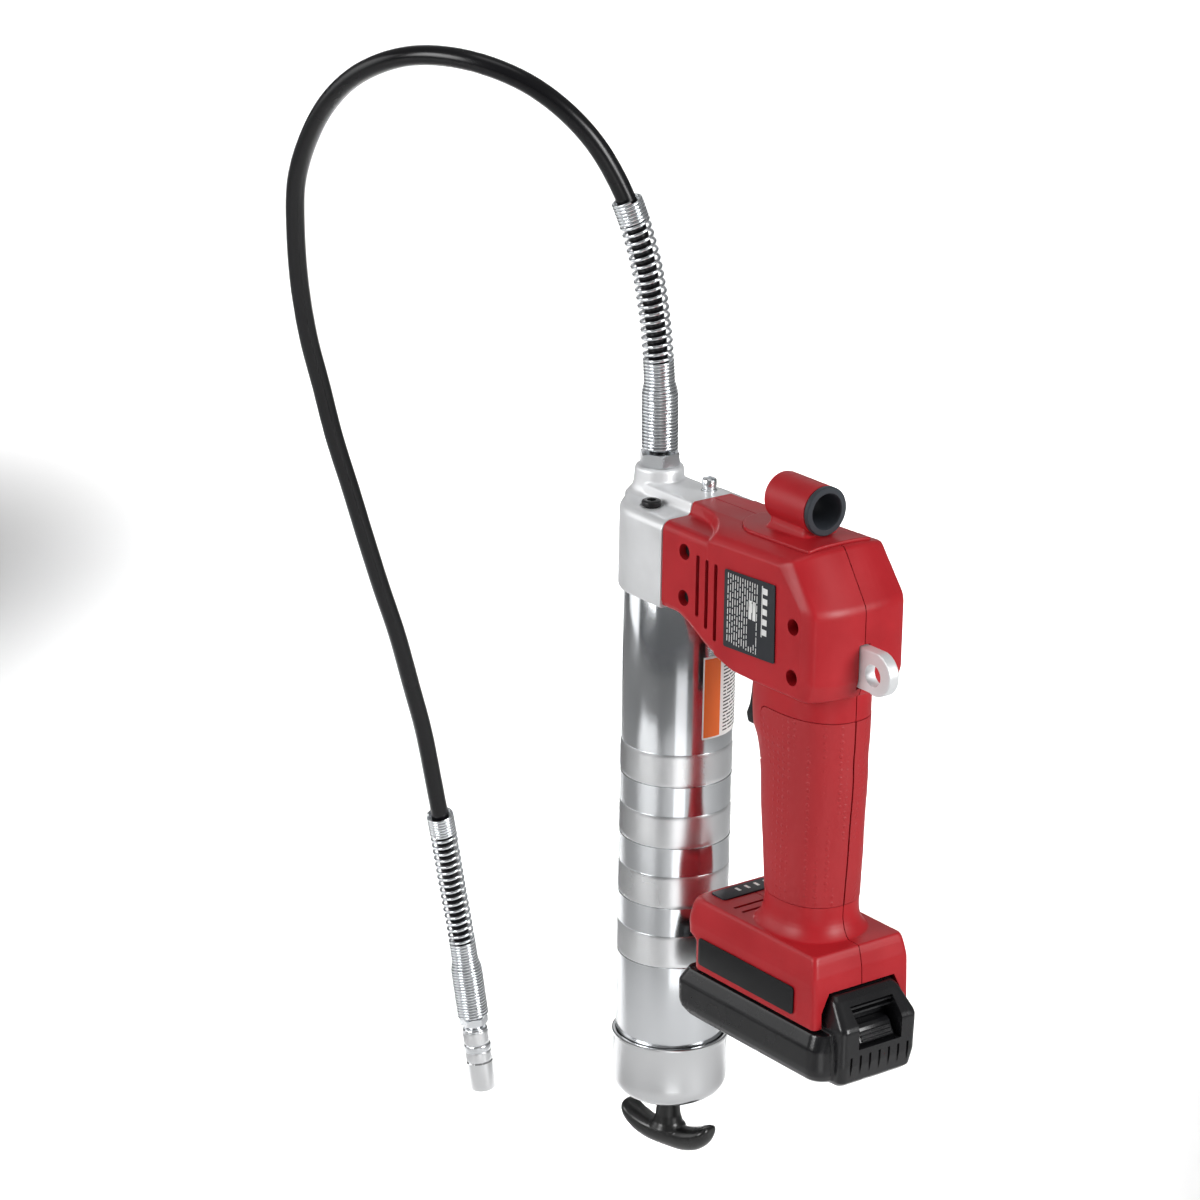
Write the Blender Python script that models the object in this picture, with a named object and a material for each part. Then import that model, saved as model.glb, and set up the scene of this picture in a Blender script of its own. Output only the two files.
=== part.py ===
"""Cordless pistol-grip grease gun: barrel, pump head, housing, battery, hose and coupler.

Every size is in millimetres and turns into metres when a mesh is made. The frame: +Z up along
the barrel's axis, +X rearward to the grip, +Y across. The origin is on the barrel's axis, at
the pump head's lower rim.
"""

import math

import bmesh
import bpy
from mathutils import Matrix, Vector

MM = 0.001
GAP = 0.3
NEAR = 0.002

# Barrel, end cap and follower
BARREL_R = 28.6
BARREL_IN = 27.0
BARREL_TOP = 22.0
BARREL_END = -258.0
BAND_TOPS = (-82.0, -115.5, -148.5, -181.5)
BAND_HEIGHT = 17.0
BAND_RISE = 0.3
CAP_R = 30.0
CAP_TOP = -244.0
CAP_END = -280.0
CAP_WALL = 1.1
ROD_R = 4.0
ROD_END = -296.0
HANDLE_TOP = -281.0
HANDLE_END = -312.0
HANDLE_TURN = math.radians(15)

# Pump head
HEAD_R = 31.5
HEAD_TOP = 45.5
HEAD_REAR = 23.7
RIB_TOP = 51.8
RIB_HALF = 12.5
BLOCK_REAR = 46.0
BLOCK_HALF = 22.0
BOSS_X = -19.0
BOSS_TOP = 58.6
PLUG_AT = (0.5, -19.8)
VALVE_AT = (12.0, 7.5)
DRIVE_Z = 20.0
CRANK_THROW = 3.0
PLUNGER_X = 39.5
HOSE_PASSAGE_Z = 40.0

# Housing
WALL = 2.5
HALF = 31.0
NOSE_FRONT = 24.0
NOSE_REAR = 60.0
BODY_FRONT = 56.0
BODY_REAR = 143.2
BODY_TOP = 54.2
SEAM = 0.15
SCREW_FRONT = ((41.7, 34.5), (41.7, 10.6))
SCREW_REAR = ((126.2, 19.9), (126.2, -5.7))
VENTS = ((52.4, 35.7, 4.0), (59.6, 35.3, -0.4), (66.7, 35.0, -4.7))
EYE_AT = (154.5, -1.5)
EYE_R = 11.0
HOLDER_Z = 68.3
HOLDER_R = 12.3
HOLDER_X = (77.5, 109.0)
SADDLE_RISE = 1.2
SADDLE_SINK = 0.6
GRIP = (
    # height, centre x, half depth, half width
    (6.0, 107.0, 30.0, 22.0),
    (-17.0, 105.5, 33.0, 23.0),
    (-44.0, 105.5, 33.0, 22.6),
    (-52.0, 107.0, 31.0, 21.8),
    (-65.0, 108.6, 29.6, 21.4),
    (-87.0, 108.9, 28.0, 21.3),
    (-106.0, 109.7, 26.3, 21.3),
    (-126.0, 110.2, 24.4, 21.3),
    (-135.0, 110.2, 24.2, 21.2),
    (-140.0, 110.2, 25.4, 22.3),
    (-143.4, 110.2, 27.4, 24.2),
    (-146.5, 110.2, 30.2, 26.8),
)
PAD_RISE = 1.3
PAD_TOP = -31.0
PAD_END = -128.0

# Foot and battery
FOOT_TOP = -145.0
FOOT_END = -182.2
BATTERY_END = -211.0
CASE_TOP = -184.0
RAIL_TOP = -176.0
CELL_R = 8.9
CELL_LENGTH = 49.6

# Hose: the route of its centre line, from the outlet to the coupler
HOSE_R = 5.0
HOSE_STEPS = 52
GUARD_STEPS = 7
ROUTE = (
    (-19, 0, 66), (-19, -1, 100), (-20, -4, 134), (-21, -11, 168), (-25, -22, 201),
    (-33, -38, 230), (-49, -58, 252), (-73, -78, 263), (-104, -92, 262), (-135, -100, 250),
    (-162, -102, 231), (-185, -100, 207), (-205, -95, 179), (-220, -86, 148),
    (-232, -76, 116), (-241, -65, 84), (-247, -53, 53), (-251, -42, 21), (-254, -30, -10),
    (-257, -18, -42), (-260, -6, -73), (-263, 7, -105), (-267, 19, -138), (-270, 30, -170),
    (-273, 39, -203), (-275, 47, -236), (-276, 54, -270), (-275, 60, -303),
    (-272, 64, -337), (-270, 66, -357),
)

COLOURS = {
    # slot: colour, roughness, metallic
    "red_shell": ((0.42, 0.03, 0.035), 0.42, 0.0),
    "red_grip": ((0.38, 0.028, 0.03), 0.6, 0.0),
    "cast_alloy": ((0.74, 0.75, 0.77), 0.45, 1.0),
    "barrel_steel": ((0.72, 0.74, 0.76), 0.28, 1.0),
    "bright_steel": ((0.8, 0.81, 0.82), 0.22, 1.0),
    "black_oxide": ((0.03, 0.03, 0.03), 0.4, 0.8),
    "black_plastic": ((0.02, 0.02, 0.022), 0.45, 0.0),
    "grey_rubber": ((0.1, 0.11, 0.12), 0.7, 0.0),
    "seal_rubber": ((0.03, 0.03, 0.03), 0.8, 0.0),
    "hose_black": ((0.012, 0.012, 0.014), 0.3, 0.0),
    "label_dark": ((0.06, 0.065, 0.07), 0.5, 0.0),
    "label_light": ((0.75, 0.74, 0.7), 0.4, 0.0),
    "board_green": ((0.02, 0.12, 0.06), 0.5, 0.0),
    "cell_wrap": ((0.05, 0.15, 0.35), 0.4, 0.0),
}


# --- mesh helpers -----------------------------------------------------------------------


def material(slot):
    """Return the slot's material, and make it the first time."""
    found = bpy.data.materials.get(slot)
    if found:
        return found
    colour, rough, metal = COLOURS[slot]
    made = bpy.data.materials.new(slot)
    made.use_nodes = True
    shader = made.node_tree.nodes["Principled BSDF"]
    shader.inputs["Base Color"].default_value = (*colour, 1.0)
    shader.inputs["Roughness"].default_value = rough
    shader.inputs["Metallic"].default_value = metal
    return made


def link(name, mesh_or_curve, origin=(0, 0, 0)):
    """Add an object to the scene at a place given in millimetres."""
    made = bpy.data.objects.new(name, mesh_or_curve)
    made.location = Vector(origin) * MM
    bpy.context.scene.collection.objects.link(made)
    return made


def to_mesh(name, bm, origin):
    """Close a bmesh drawn in millimetres and write it out in metres about its origin."""
    bmesh.ops.remove_doubles(bm, verts=bm.verts, dist=NEAR)
    bmesh.ops.recalc_face_normals(bm, faces=bm.faces)
    bmesh.ops.translate(bm, vec=-Vector(origin), verts=bm.verts)
    bmesh.ops.scale(bm, vec=(MM, MM, MM), verts=bm.verts)
    mesh = bpy.data.meshes.new(name)
    bm.to_mesh(mesh)
    bm.free()
    return mesh


def part(name, bm, slot, origin=(0, 0, 0)):
    """Make one sub-part from a closed bmesh."""
    mesh = to_mesh(name, bm, origin)
    mesh.materials.append(material(slot))
    mesh.shade_smooth()
    mesh.set_sharp_from_angle(angle=math.radians(35))
    return link(name, mesh, origin)


def combine(target, operation, solid):
    """Put a hidden guide solid into a Boolean modifier on the target."""
    guide = solid
    if isinstance(solid, bmesh.types.BMesh):
        guide = link("guide", to_mesh("guide", solid, (0, 0, 0)))
    guide.hide_render = True
    guide.display_type = "WIRE"
    modifier = target.modifiers.new(operation.title(), "BOOLEAN")
    modifier.operation = operation
    modifier.object = guide
    modifier.solver = "EXACT"


def add(target, *solids):
    """Join solids to the target."""
    for bm in solids:
        combine(target, "UNION", bm)


def cut(target, *solids):
    """Cut solids out of the target."""
    for bm in solids:
        combine(target, "DIFFERENCE", bm)


def box(x, y, z):
    """Return a box from its (low, high) pairs."""
    bm = bmesh.new()
    size = Vector((x[1] - x[0], y[1] - y[0], z[1] - z[0]))
    middle = Vector((x[0] + x[1], y[0] + y[1], z[0] + z[1])) / 2
    bmesh.ops.create_cube(bm, matrix=Matrix.Translation(middle) @ Matrix.Diagonal((*size, 1)))
    return bm


def placed(bm, at, along):
    """Turn a solid so that its +Z runs along a direction, and move it."""
    turn = Vector((0, 0, 1)).rotation_difference(Vector(along)).to_matrix().to_4x4()
    bmesh.ops.transform(bm, matrix=Matrix.Translation(Vector(at)) @ turn, verts=bm.verts)
    return bm


def bar(start, end, radius, sides=24):
    """Return a round or polygonal bar between two points."""
    run = Vector(end) - Vector(start)
    bm = bmesh.new()
    up = Matrix.Translation((0, 0, run.length / 2))
    bmesh.ops.create_cone(
        bm, cap_ends=True, segments=sides, radius1=radius, radius2=radius,
        depth=run.length, matrix=up,
    )
    return placed(bm, start, run)


def lathe(profile, sides=32, ring=False):
    """Spin an (r, z) profile round Z. A ring's profile is a closed loop off the axis."""
    bm = bmesh.new()
    verts = [bm.verts.new((r, 0, z)) for r, z in profile]
    edges = [bm.edges.new(pair) for pair in zip(verts, verts[1:])]
    if ring:
        edges.append(bm.edges.new((verts[-1], verts[0])))
    bmesh.ops.spin(
        bm, geom=verts + edges, cent=(0, 0, 0), axis=(0, 0, 1), angle=math.tau,
        steps=sides, use_merge=True,
    )
    bmesh.ops.remove_doubles(bm, verts=bm.verts, dist=NEAR)
    return bm


def pipe(outer, inner, z0, z1, sides=32):
    """Return a plain tube round Z."""
    return lathe([(outer, z0), (outer, z1), (inner, z1), (inner, z0)], sides, ring=True)


def loft(rings):
    """Skin a row of rings that have the same number of points, and close both ends."""
    bm = bmesh.new()
    loops = [[bm.verts.new(point) for point in ring] for ring in rings]
    for low, high in zip(loops, loops[1:]):
        for i in range(len(low)):
            j = (i + 1) % len(low)
            bm.faces.new((low[i], low[j], high[j], high[i]))
    bm.faces.new(loops[0][::-1])
    bm.faces.new(loops[-1])
    return bm


def slab(outline, y0, y1):
    """Return an (x, z) outline extruded along Y."""
    return loft([[(x, y, z) for x, z in outline] for y in (y0, y1)])


def rounded(x0, x1, half, z, radius, front=None, steps=3):
    """Return a rounded rectangle at a height; front is the radius of its corners at x0."""
    points = []
    fore = radius if front is None else front
    corners = (
        (x1, half, 0, radius), (x0, half, 90, fore),
        (x0, -half, 180, fore), (x1, -half, 270, radius),
    )
    for x, y, start, radius in corners:
        cx = x - math.copysign(radius, x - (x0 + x1) / 2)
        cy = y - math.copysign(radius, y)
        for i in range(steps + 1):
            turn = math.radians(start + 90 * i / steps)
            points.append((cx + radius * math.cos(turn), cy + radius * math.sin(turn), z))
    return points


def oval(cx, a, b, z, sides=24, power=2.3):
    """Return a superellipse at a height."""
    points = []
    for i in range(sides):
        turn = math.tau * i / sides
        c, s = math.cos(turn), math.sin(turn)
        x = cx + math.copysign(a * abs(c) ** (2 / power), c)
        y = math.copysign(b * abs(s) ** (2 / power), s)
        points.append((x, y, z))
    return points


# --- barrel, cap, rod and follower ------------------------------------------------------


def make_barrel():
    profile = [(BARREL_R, BARREL_TOP)]
    for top in BAND_TOPS:
        profile.append((BARREL_R, top))
        profile.append((BARREL_R + BAND_RISE, top - 0.5))
        profile.append((BARREL_R + BAND_RISE, top - BAND_HEIGHT + 0.5))
        profile.append((BARREL_R, top - BAND_HEIGHT))
    profile += [(BARREL_R, BARREL_END), (BARREL_IN, BARREL_END), (BARREL_IN, BARREL_TOP)]
    part("barrel", lathe(profile, 40, ring=True), "barrel_steel")


def make_end_cap():
    inner = BARREL_R + GAP
    profile = [
        (CAP_R, CAP_TOP), (CAP_R, CAP_END + 11), (28.8, CAP_END + 6), (26.0, CAP_END + 2),
        (22.0, CAP_END), (7.6, CAP_END), (7.6, CAP_END + CAP_WALL),
        (21.6, CAP_END + CAP_WALL), (25.2, CAP_END + 3), (27.7, CAP_END + 6.6),
        (inner, CAP_END + 11.5), (inner, CAP_TOP),
    ]
    part("end_cap", lathe(profile, 40, ring=True), "barrel_steel")
    collar = [
        (7.3, CAP_END - 0.6), (7.3, CAP_END + 1.5), (10.0, CAP_END + 1.5),
        (10.0, CAP_END + 4), (ROD_R + GAP, CAP_END + 4), (ROD_R + GAP, CAP_END - 0.6),
    ]
    part("rod_bushing", lathe(collar, 24, ring=True), "black_plastic")


def make_follower():
    top = BARREL_TOP - 6
    cup = [
        (0, top), (22, top), (26.4, top + 3), (26.6, top), (26.6, top - 10),
        (24.6, top - 10), (24.0, top - 4), (0, top - 4),
    ]
    part("follower_cup", lathe(cup, 32), "seal_rubber")
    part("follower_plate", pipe(23.4, ROD_R + GAP, top - 7, top - 4.4), "bright_steel")
    spring_top = top - 7.4
    part(
        "follower_spring", pipe(23.0, 19.5, BARREL_END - 14, spring_top, 24), "bright_steel"
    )


def make_rod():
    rod_top = BARREL_TOP - 10.6
    part("plunger_rod", bar((0, 0, rod_top), (0, 0, ROD_END), ROD_R, 20), "bright_steel")
    outline = [
        (-28.2, -295.5), (-26.6, -301.5), (-21.0, -307.6), (-12.0, HANDLE_END + 0.8),
        (0.0, HANDLE_END), (12.0, HANDLE_END + 0.8), (21.0, -307.6), (26.6, -301.5),
        (28.2, -295.5), (25.8, -293.0), (21.0, -296.6), (14.0, -299.6), (-14.0, -299.6),
        (-21.0, -296.6), (-25.8, -293.0),
    ]
    grip = slab(outline, -6.6, 6.6)
    turn = Matrix.Rotation(HANDLE_TURN, 3, "Z")
    bmesh.ops.rotate(grip, cent=(0, 0, 0), matrix=turn, verts=grip.verts)
    handle = part("t_handle", grip, "black_plastic")
    add(handle, bar((0, 0, HANDLE_TOP), (0, 0, -304), 6.3))
    cut(handle, bar((0, 0, HANDLE_TOP + 2), (0, 0, ROD_END - GAP), ROD_R + GAP, 20))


# --- pump head --------------------------------------------------------------------------


def stadium(half, z):
    """Return a half round facing -X with straight sides back to the head's rear face."""
    points = [(HEAD_REAR, half, z)]
    for i in range(17):
        turn = math.radians(90 + 180 * i / 16)
        points.append((half * math.cos(turn), half * math.sin(turn), z))
    points.append((HEAD_REAR, -half, z))
    return points


def make_pump_head():
    rings = (
        (HEAD_R - 0.8, 0.0), (HEAD_R, 1.0), (HEAD_R, HEAD_TOP - 5.5),
        (HEAD_R - 1.4, HEAD_TOP - 2.4), (HEAD_R - 3.6, HEAD_TOP - 0.6), (HEAD_R - 5.5, HEAD_TOP),
    )
    head = part("pump_head", loft([stadium(half, z) for half, z in rings]), "cast_alloy")
    block = box((10, BLOCK_REAR), (-BLOCK_HALF, BLOCK_HALF), (4.5, 41.3))
    foot = RIB_HALF + 1.5
    rib = loft([
        [(x, -foot, HEAD_TOP - 3), (x, foot, HEAD_TOP - 3), (x, foot, HEAD_TOP),
         (x, RIB_HALF, RIB_TOP), (x, -RIB_HALF, RIB_TOP), (x, -foot, HEAD_TOP)]
        for x in (BOSS_X, HEAD_REAR - 0.4)
    ])
    hidden_rib = box((12, BLOCK_REAR - 0.5), (-9.5, 9.5), (38, 47))
    boss = lathe([(0, 36), (13.4, 36), (12.4, BOSS_TOP - 0.8), (11.6, BOSS_TOP), (0, BOSS_TOP)], 28)
    placed(boss, (BOSS_X, 0, 0), (0, 0, 1))
    add(head, block, rib, hidden_rib, boss)

    socket = bar((0, 0, -3), (0, 0, BARREL_TOP + 2.6), BARREL_R + GAP, 40)
    cavity = box((34, 60), (-10.5, 10.5), (-2, 35))
    bore = bar((PLUNGER_X, 0, 34), (PLUNGER_X, 0, 44.3), 4.3)
    passage = bar((BOSS_X, 0, HOSE_PASSAGE_Z), (PLUNGER_X, 0, HOSE_PASSAGE_Z), 2.0, 12)
    inlet = bar((8, 0, 21), (PLUNGER_X - 4, 0, HOSE_PASSAGE_Z - 0.6), 1.7, 12)
    riser = bar((BOSS_X, 0, HOSE_PASSAGE_Z), (BOSS_X, 0, 50), 2.2, 12)
    outlet = bar((BOSS_X, 0, 47.5), (BOSS_X, 0, 62), 5.2)
    plug_hole = bar((*PLUG_AT, 36.5), (*PLUG_AT, 50), 3.3)
    valve_hole = bar((*VALVE_AT, 44), (*VALVE_AT, 56), 4.1)
    cut(head, socket, cavity, bore, passage, inlet, riser, outlet, plug_hole, valve_hole)
    for x, z in SCREW_FRONT:
        for side in (-1, 1):
            cut(head, bar((x, side * 12.6, z), (x, side * 26, z), 2.1, 12))

    part("cartridge_gasket", pipe(28.4, 21, BARREL_TOP + 0.3, BARREL_TOP + 2.3), "seal_rubber")


def make_head_fittings():
    adapter = part(
        "outlet_adapter",
        bar((BOSS_X, 0, BOSS_TOP + GAP), (BOSS_X, 0, 65.6), 10.9, 6),
        "bright_steel",
    )
    add(adapter, bar((BOSS_X, 0, 48), (BOSS_X, 0, BOSS_TOP + 2), 4.9))
    cut(adapter, bar((BOSS_X, 0, 47), (BOSS_X, 0, 67), 1.6, 12))

    x, y = PLUG_AT
    top = HEAD_TOP + 3.3
    profile = [(0, 37), (3, 37), (3, HEAD_TOP + GAP), (4.9, HEAD_TOP + GAP), (4.9, top - 0.8),
               (4.1, top), (0, top)]
    plug = part("port_plug", placed(lathe(profile, 24), (x, y, 0), (0, 0, 1)), "black_oxide")
    cut(plug, bar((x, y, HEAD_TOP + 1), (x, y, top + 1), 2.5, 6))

    x, y = VALVE_AT
    profile = [(0, 46.5), (3.7, 46.5), (3.7, 57.2), (2.9, 58.1), (0, 58.1)]
    pin = part(
        "bleed_valve", placed(lathe(profile, 24), (x, y, 0), (0, 0, 1)), "bright_steel",
        (x, y, 52),
    )
    cut(pin, box((x - 6, x + 6), (y - 0.6, y + 0.6), (56.6, 60)))


# --- drive ------------------------------------------------------------------------------


def along_x(profile, sides=28, ring=False):
    """Spin an (r, x) profile round the motor's axis."""
    return placed(lathe(profile, sides, ring), (0, 0, DRIVE_Z), (1, 0, 0))


def make_drive():
    axis = (0, 0, DRIVE_Z)
    can = [(18.4, 67), (18.4, 112), (4.4, 112), (4.4, 67)]
    part("motor_can", along_x(can, ring=True), "bright_steel")
    rotor = [
        (0, 60), (3.9, 60), (3.9, 113), (15, 113), (15, 117), (3.9, 117), (3.9, 119), (0, 119),
    ]
    part("motor_rotor", along_x(rotor), "black_oxide", axis)
    case = [(18.4, 48), (18.4, 66.4), (6.4, 66.4), (6.4, 48)]
    part("gearbox_case", along_x(case, ring=True), "cast_alloy")
    crank_profile = [(0, 43.8), (9.5, 43.8), (9.5, 47.4), (6, 47.4), (6, 58), (0, 58)]
    crank = part("crank", along_x(crank_profile), "bright_steel", axis)
    pin_z = DRIVE_Z + CRANK_THROW
    add(crank, bar((36.6, 0, pin_z), (45, 0, pin_z), 2.0, 16))

    low, high = DRIVE_Z - 11.5, DRIVE_Z + 11.5
    yoke_x = (PLUNGER_X - 2.3, PLUNGER_X + 2.3)
    yoke = part("pump_yoke", box(yoke_x, (-9.5, 9.5), (low, high)), "bright_steel")
    cut(yoke, box((30, 50), (-5.6, 5.6), (low + 3.1, high - 3.1)))
    add(yoke, bar((PLUNGER_X, 0, high - 1), (PLUNGER_X, 0, 40), 3.9, 20))


# --- housing ----------------------------------------------------------------------------


def body_ring(y, wall):
    """Return the side outline of the motor housing at a distance from the seam."""
    reach = abs(y) / HALF
    edge = max(0.0, abs(y) - 27.0) / 4.0
    drop = 5.0 * reach ** 3 + 2.6 * edge ** 2 + wall
    rear = BODY_REAR - 6.5 * reach ** 3 - 5.0 * edge ** 2 - wall
    lift = 2.0 * edge ** 2 + wall
    front = BODY_FRONT - 2 * wall
    outline = (
        (front, -9.0 + lift), (65.0, -13.3 + lift), (80.0, -17.2 + lift),
        (98.0, -17.4 + lift), (rear - 4.0, -15.5 + lift), (rear, -11.5 + lift),
        (rear, 28.1 - wall / 2), (rear - 17.9 + wall / 2, BODY_TOP - drop),
        (front, BODY_TOP - 1.9 - drop),
    )
    side = y * (HALF - wall) / HALF
    return [(x, side, z) for x, z in outline]


def body_solid(wall):
    stations = (-31, -30.2, -29, -27, -22, -14, 0, 14, 22, 27, 29, 30.2, 31)
    return loft([body_ring(y, wall) for y in stations])


def nose_ring(x, floor, wall):
    """Return the front housing's section: level shoulders and a raised middle band."""
    half = HALF - 0.1 - wall
    bottom = floor + wall
    right = [
        (half - 3, bottom), (half, bottom + 2.5), (half, 41.0 - wall),
        (half - 2.2, 44.6 - wall), (half - 5, 46.0 - wall), (14.2 - wall / 2, 46.2 - wall),
        (RIB_HALF + 0.2 - wall, RIB_TOP + 0.6 - wall),
    ]
    left = [(-y, z) for y, z in reversed(right)]
    return [(x, y, z) for y, z in right + left]


def nose_solid(wall):
    floors = ((NOSE_FRONT, 0.6), (37.0, 0.9), (51.0, -5.0), (NOSE_REAR, -10.4))
    if wall:
        floors = ((NOSE_FRONT - 3, 0.6), *floors[1:], (NOSE_REAR + 4, -12.0))
    return loft([nose_ring(x, floor, wall) for x, floor in floors])


def grip_solid(offset):
    return loft([oval(cx, a + offset, b + offset, z) for z, cx, a, b in GRIP[::-1]])


def pad_solid(offset, reach):
    """Return the part of the grip that its soft pads cover, grown up and down by reach."""
    rows = [
        (PAD_TOP + reach, 105.5, 33.0, 22.8),
        *[row for row in GRIP if PAD_END < row[0] < PAD_TOP],
        (PAD_END - reach, 110.2, 24.4, 21.3),
    ]
    return loft([oval(cx, a + offset, b + offset, z) for z, cx, a, b in rows[::-1]])


def shape_pad(target, depth, gap):
    """Hollow out a blank for the pads, and open its front above the middle finger."""
    cut(target, pad_solid(-depth, 5.0), box((60, 93 - gap), (-40, 40), (-62 + gap, 0)))


def pad_groove():
    groove = link("guide", to_mesh("guide", pad_solid(2.0, GAP), (0, 0, 0)))
    shape_pad(groove, PAD_RISE, GAP)
    return groove


def foot_solid():
    rings = (
        (FOOT_END, 53.0, 151.0, 30.5), (-167.2, 53.0, 150.4, 30.5), (-165.2, 47.3, 150.3, 30.5),
        (-157.0, 47.0, 150.0, 30.3), (-150.0, 48.3, 148.6, 29.3), (-146.2, 50.6, 147.3, 28.3),
        (FOOT_TOP, 52.4, 146.3, 27.0),
    )
    return loft([rounded(x0, x1, half, z, 3.5, 8.0) for z, x0, x1, half in rings])


def foot_hollow():
    rings = (
        (FOOT_END - 4, 55.6, 147.8, 27.6), (-167.2, 55.6, 147.6, 27.6),
        (-163.0, 50.0, 147.4, 27.6), (-153.0, 50.4, 146.3, 26.9),
        (FOOT_TOP - WALL, 54.4, 144.0, 24.6),
    )
    return loft([rounded(x0, x1, half, z, 3.0, 6.0) for z, x0, x1, half in rings])


def screw_boss(x, z, start, end):
    return bar((x, start, z), (x, end, z), 5.7, 20)


def make_housing(name, side):
    """Make one half of the housing; side is -1 or 1."""
    half = part(name, body_solid(0.0), "red_shell")
    add(half, nose_solid(0.0), grip_solid(0.0), foot_solid())
    cut(half, body_solid(WALL), nose_solid(WALL), grip_solid(-WALL - PAD_RISE), foot_hollow())
    combine(half, "INTERSECT", box((0, 200), sorted((side * SEAM, side * 80)), (-250, 120)))
    for x, z in SCREW_FRONT:
        add(half, screw_boss(x, z, side * 29.4, side * (BLOCK_HALF + 0.4)))
        cut(half, bar((x, side * 24.5, z), (x, side * 34, z), 4.1, 20))
        cut(half, bar((x, side * 20, z), (x, side * 26, z), 2.1, 12))
    for x, z in SCREW_REAR:
        add(half, screw_boss(x, z, side * 29.4, side * SEAM))
        if side < 0:
            cut(half, bar((x, -14, z), (x, -34, z), 4.1, 20))
        cut(half, bar((x, -16, z), (x, 10, z), 1.9, 12))
    for x, top, bottom in VENTS:
        vent = box((x - 1.3, x + 1.3), (20, 40), (bottom, top))
        if side < 0:
            half_turn = Matrix.Rotation(math.pi, 3, "Z")
            bmesh.ops.rotate(vent, cent=(x, 0, 0), matrix=half_turn, verts=vent.verts)
        cut(half, vent)
    for x in (76.4, 82.8):
        cut(half, box((x - 0.9, x + 0.9), (-21.6, 21.6), (FOOT_TOP - 5, FOOT_TOP + 5)))
    trigger_slot = box((55, 84), (-7.8, 7.8), (-55, -19.5))
    eye_slot = box((137.8, 150), (-3.4, 3.4), (-12.9, 10.0))
    arch_low = box((140, 160), (-25.5, 25.5), (-190, -168.6))
    arch_high = box((140, 160), (-20.6, 20.6), (-180, -164.2))
    holder_pins = [box((x - 3.3, x + 3.3), (-5.3, 5.3), (44, 60)) for x in (84, 104)]
    barrel_gap = bar((0, 0, -30), (0, 0, 3.8), BARREL_R + 1.4, 48)
    cut(half, barrel_gap, trigger_slot, eye_slot, arch_low, arch_high, *holder_pins)
    cut(half, saddle(GAP, 6.0, SADDLE_SINK + GAP), pad_groove())


def make_grip_pads():
    for name, side in (("grip_pad_left", -1), ("grip_pad_right", 1)):
        pad = part(name, pad_solid(0.0, 0.0), "red_grip")
        shape_pad(pad, PAD_RISE - GAP, 0.0)
        combine(pad, "INTERSECT", box((60, 160), sorted((side * 0.4, side * 80)), (-140, 0)))


def roof_block(rise):
    """Return a block whose top runs along the roof of the housing, raised or sunk a little."""
    rings = []
    for y in (-22, -14, 0, 14, 22):
        top = BODY_TOP - 5.0 * (abs(y) / HALF) ** 3 + rise
        rings.append([(56, y, 40), (128, y, 40), (128, y, top + 0.1), (56, y, top - 2.1)])
    return loft(rings)


def saddle(grow, rise, sink):
    """Return the plate under the hose holder, which follows the roof."""
    outline = [rounded(60.0 - grow, 122.5 + grow, 19.6 + grow, z, 1.5 + grow, 19.0 + grow, 6)
               for z in (44, 62)]
    plate = link("guide", to_mesh("guide", loft(outline), (0, 0, 0)))
    combine(plate, "INTERSECT", roof_block(rise))
    cut(plate, roof_block(-sink))
    return plate


def make_hose_holder():
    """The open tube on top of the housing that parks the coupler."""
    x0, x1 = HOLDER_X
    centre = (0, 0, HOLDER_Z)
    tube = bar((x0, 0, HOLDER_Z), (x1, 0, HOLDER_Z), HOLDER_R, 32)
    holder = part("hose_holder", tube, "red_shell")
    neck = box((80, 107), (-6.5, 6.5), (53.8, 60))
    add(holder, saddle(0.0, SADDLE_RISE, SADDLE_SINK), neck)
    for x in (84, 104):
        add(holder, box((x - 3, x + 3), (-5, 5), (46, 58)))
    cut(holder, bar((70, 0, HOLDER_Z), (115, 0, HOLDER_Z), 10.2, 32))
    liner = [(9.9, x0 + 1), (9.9, x1 + GAP), (12.3, x1 + GAP), (12.3, x1 + 3), (8.6, x1 + 3),
             (8.6, x0 + 1)]
    part("holder_grommet", placed(lathe(liner, 32, ring=True), centre, (1, 0, 0)), "grey_rubber")


def make_strap_eye():
    x, z = EYE_AT
    eye = part("strap_eye", box((136, x), (-3, 3), (z - 10.2, z + 11)), "bright_steel")
    add(eye, bar((x, -3, z), (x, 3, z), EYE_R, 32), box((134.5, 137.5), (-6, 6), (z - 9.5, z + 10.5)))
    cut(eye, bar((x - 1.5, -5, z - 1), (x - 1.5, 5, z - 1), 5.6))


def make_trigger():
    outline = [
        (84.0, -21.0), (71.0, -21.0), (67.6, -27.0), (66.6, -34.0), (65.6, -41.0),
        (63.0, -47.0), (63.6, -50.6), (67.0, -52.6), (84.0, -52.6),
    ]
    trigger = part("trigger", slab(outline, -7.0, 7.0), "black_plastic", (84, 0, -37))
    bevel = trigger.modifiers.new("Bevel", "BEVEL")
    bevel.width = 1.4 * MM
    bevel.segments = 2
    bevel.limit_method = "ANGLE"
    part("trigger_switch", box((92.5, 116), (-9, 9), (-56, -26)), "black_plastic")


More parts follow.
